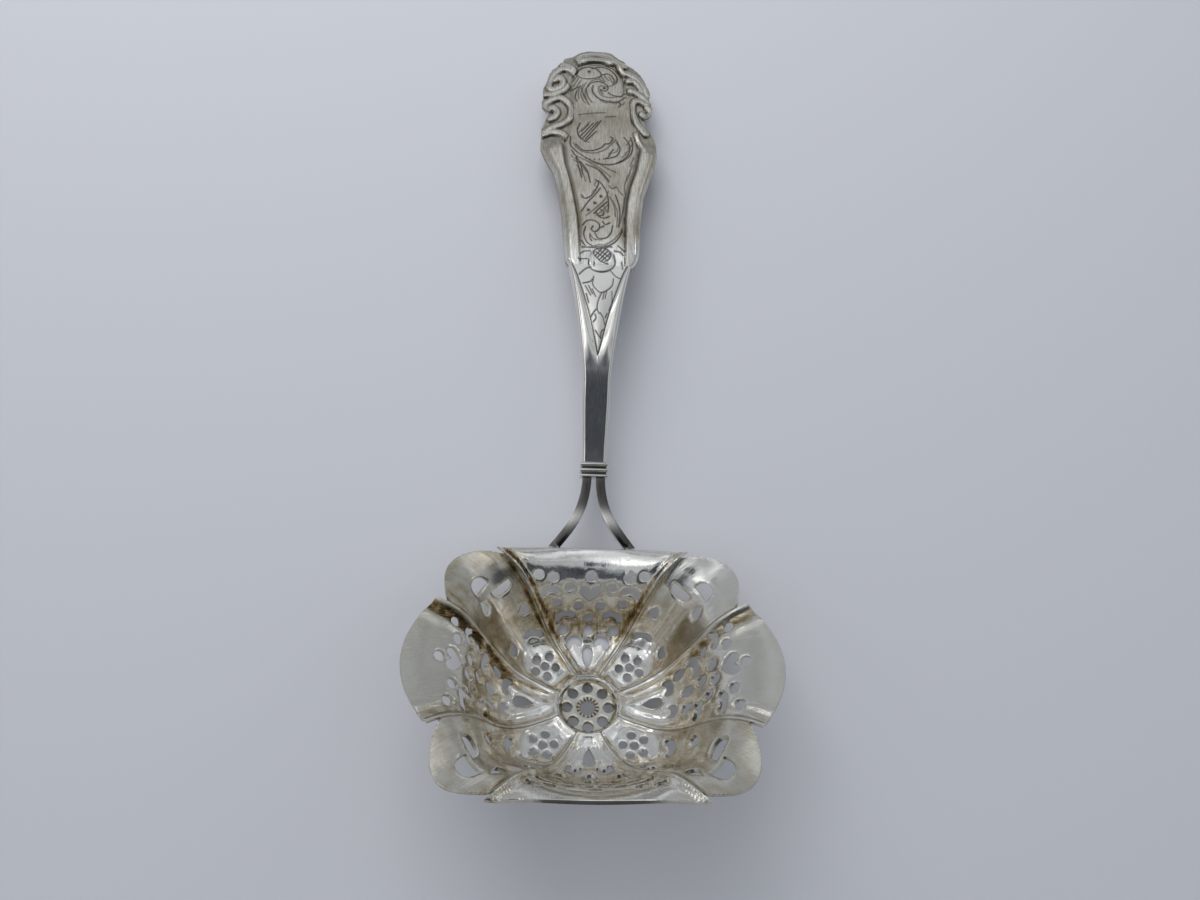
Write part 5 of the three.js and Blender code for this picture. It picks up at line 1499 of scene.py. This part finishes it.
# A soft light for the floor, which silver doesn't mirror, as from a lamp out of the room.
def add_light(name, place, size, power):
    data = bpy.data.lights.new(name, "AREA")
    data.size = size
    data.energy = power
    light = bpy.data.objects.new(name, data)
    bpy.context.collection.objects.link(light)
    light.location = place
    light.rotation_euler = (-Vector(place)).to_track_quat("-Z", "Y").to_euler()
    light.visible_glossy = False


# The room that the silver mirrors: grey walls and a lighter ceiling, with round patches on them.
WALL_COLOUR, CEILING_COLOUR = "#a4a7ab", "#bfc3c8"
ROOM_THINGS = 3.5  # how small the panes and shades are that break up the ceiling and upper walls
# Each patch: bearing from the back towards the right, elevation, radius, radius where it has faded out
# (all in degrees), colour and strength
ROOM_PATCHES = [
    (95, 10, 20, 70, "#989b9f", 1.0),  # shaded right wall
    (0, 63, 12, 32, "#e0e3e8", 1.0),  # bright ceiling behind the spoon
    (164, 34, 24, 44, "#484c52", 1.0),  # dark front of the room
    (152, 81.5, 3, 10.5, "#3b4048", 1.0),  # dark patch over the stem
    (-80, 70, 5, 14, "#ffffff", 1.3),  # ceiling lamp
    (-52, 51, 4, 11, "#ffffff", 1.5),  # windows
    (-82, 38, 5, 9, "#ffffff", 1.6),
    (62, 30, 5, 9, "#ffffff", 1.6),
]


def set_world():
    world = bpy.data.worlds.new("studio")
    bpy.context.scene.world = world
    world.use_nodes = True
    tree = world.node_tree
    way = node(tree, "TexCoord", {}, "Generated")
    height = node(tree, "SeparateXYZ", {0: way}, "Z")
    colour = node(tree, "Mix", {
        "Factor": height, 6: linear(WALL_COLOUR), 7: linear(CEILING_COLOUR)}, 2, data_type="RGBA")
    for bearing, elevation, radius, faded, tone, strength in ROOM_PATCHES:
        b, e, start, end = (math.radians(angle) for angle in (bearing, elevation, faded, radius))
        middle = (math.cos(e) * math.sin(b), math.cos(e) * math.cos(b), math.sin(e))
        near = node(tree, "VectorMath", {0: way, 1: middle}, "Value", operation="DOT_PRODUCT")
        share = node(tree, "MapRange", {
            "Value": near, "From Min": math.cos(start), "From Max": math.cos(end)},
            interpolation_type="SMOOTHSTEP")
        patch = tuple(part * strength for part in linear(tone)[:3]) + (1.0,)
        colour = node(tree, "Mix", {"Factor": share, 6: colour, 7: patch}, 2, data_type="RGBA")
    things = node(tree, "TexVoronoi", {"Vector": way, "Scale": ROOM_THINGS}, "Color", distance="CHEBYCHEV")
    shade = node(tree, "MapRange", {
        "Value": things, "From Min": 0.2, "From Max": 0.8, "To Min": 0.6, "To Max": 1.4})
    above = node(tree, "MapRange", {
        "Value": height, "From Min": 0.2, "From Max": 0.45}, interpolation_type="SMOOTHSTEP")
    broken = node(tree, "Mix", {
        "Factor": above, 6: colour, 7: shade}, 2, data_type="RGBA", blend_type="MULTIPLY")
    plug(tree, tree.nodes["Background"], {"Color": broken})


add_floor()
add_light("back_fill", (-0.14, 0.38, 0.34), 0.4, 1.5)
set_world()
bpy.context.scene.view_settings.view_transform = "Standard"
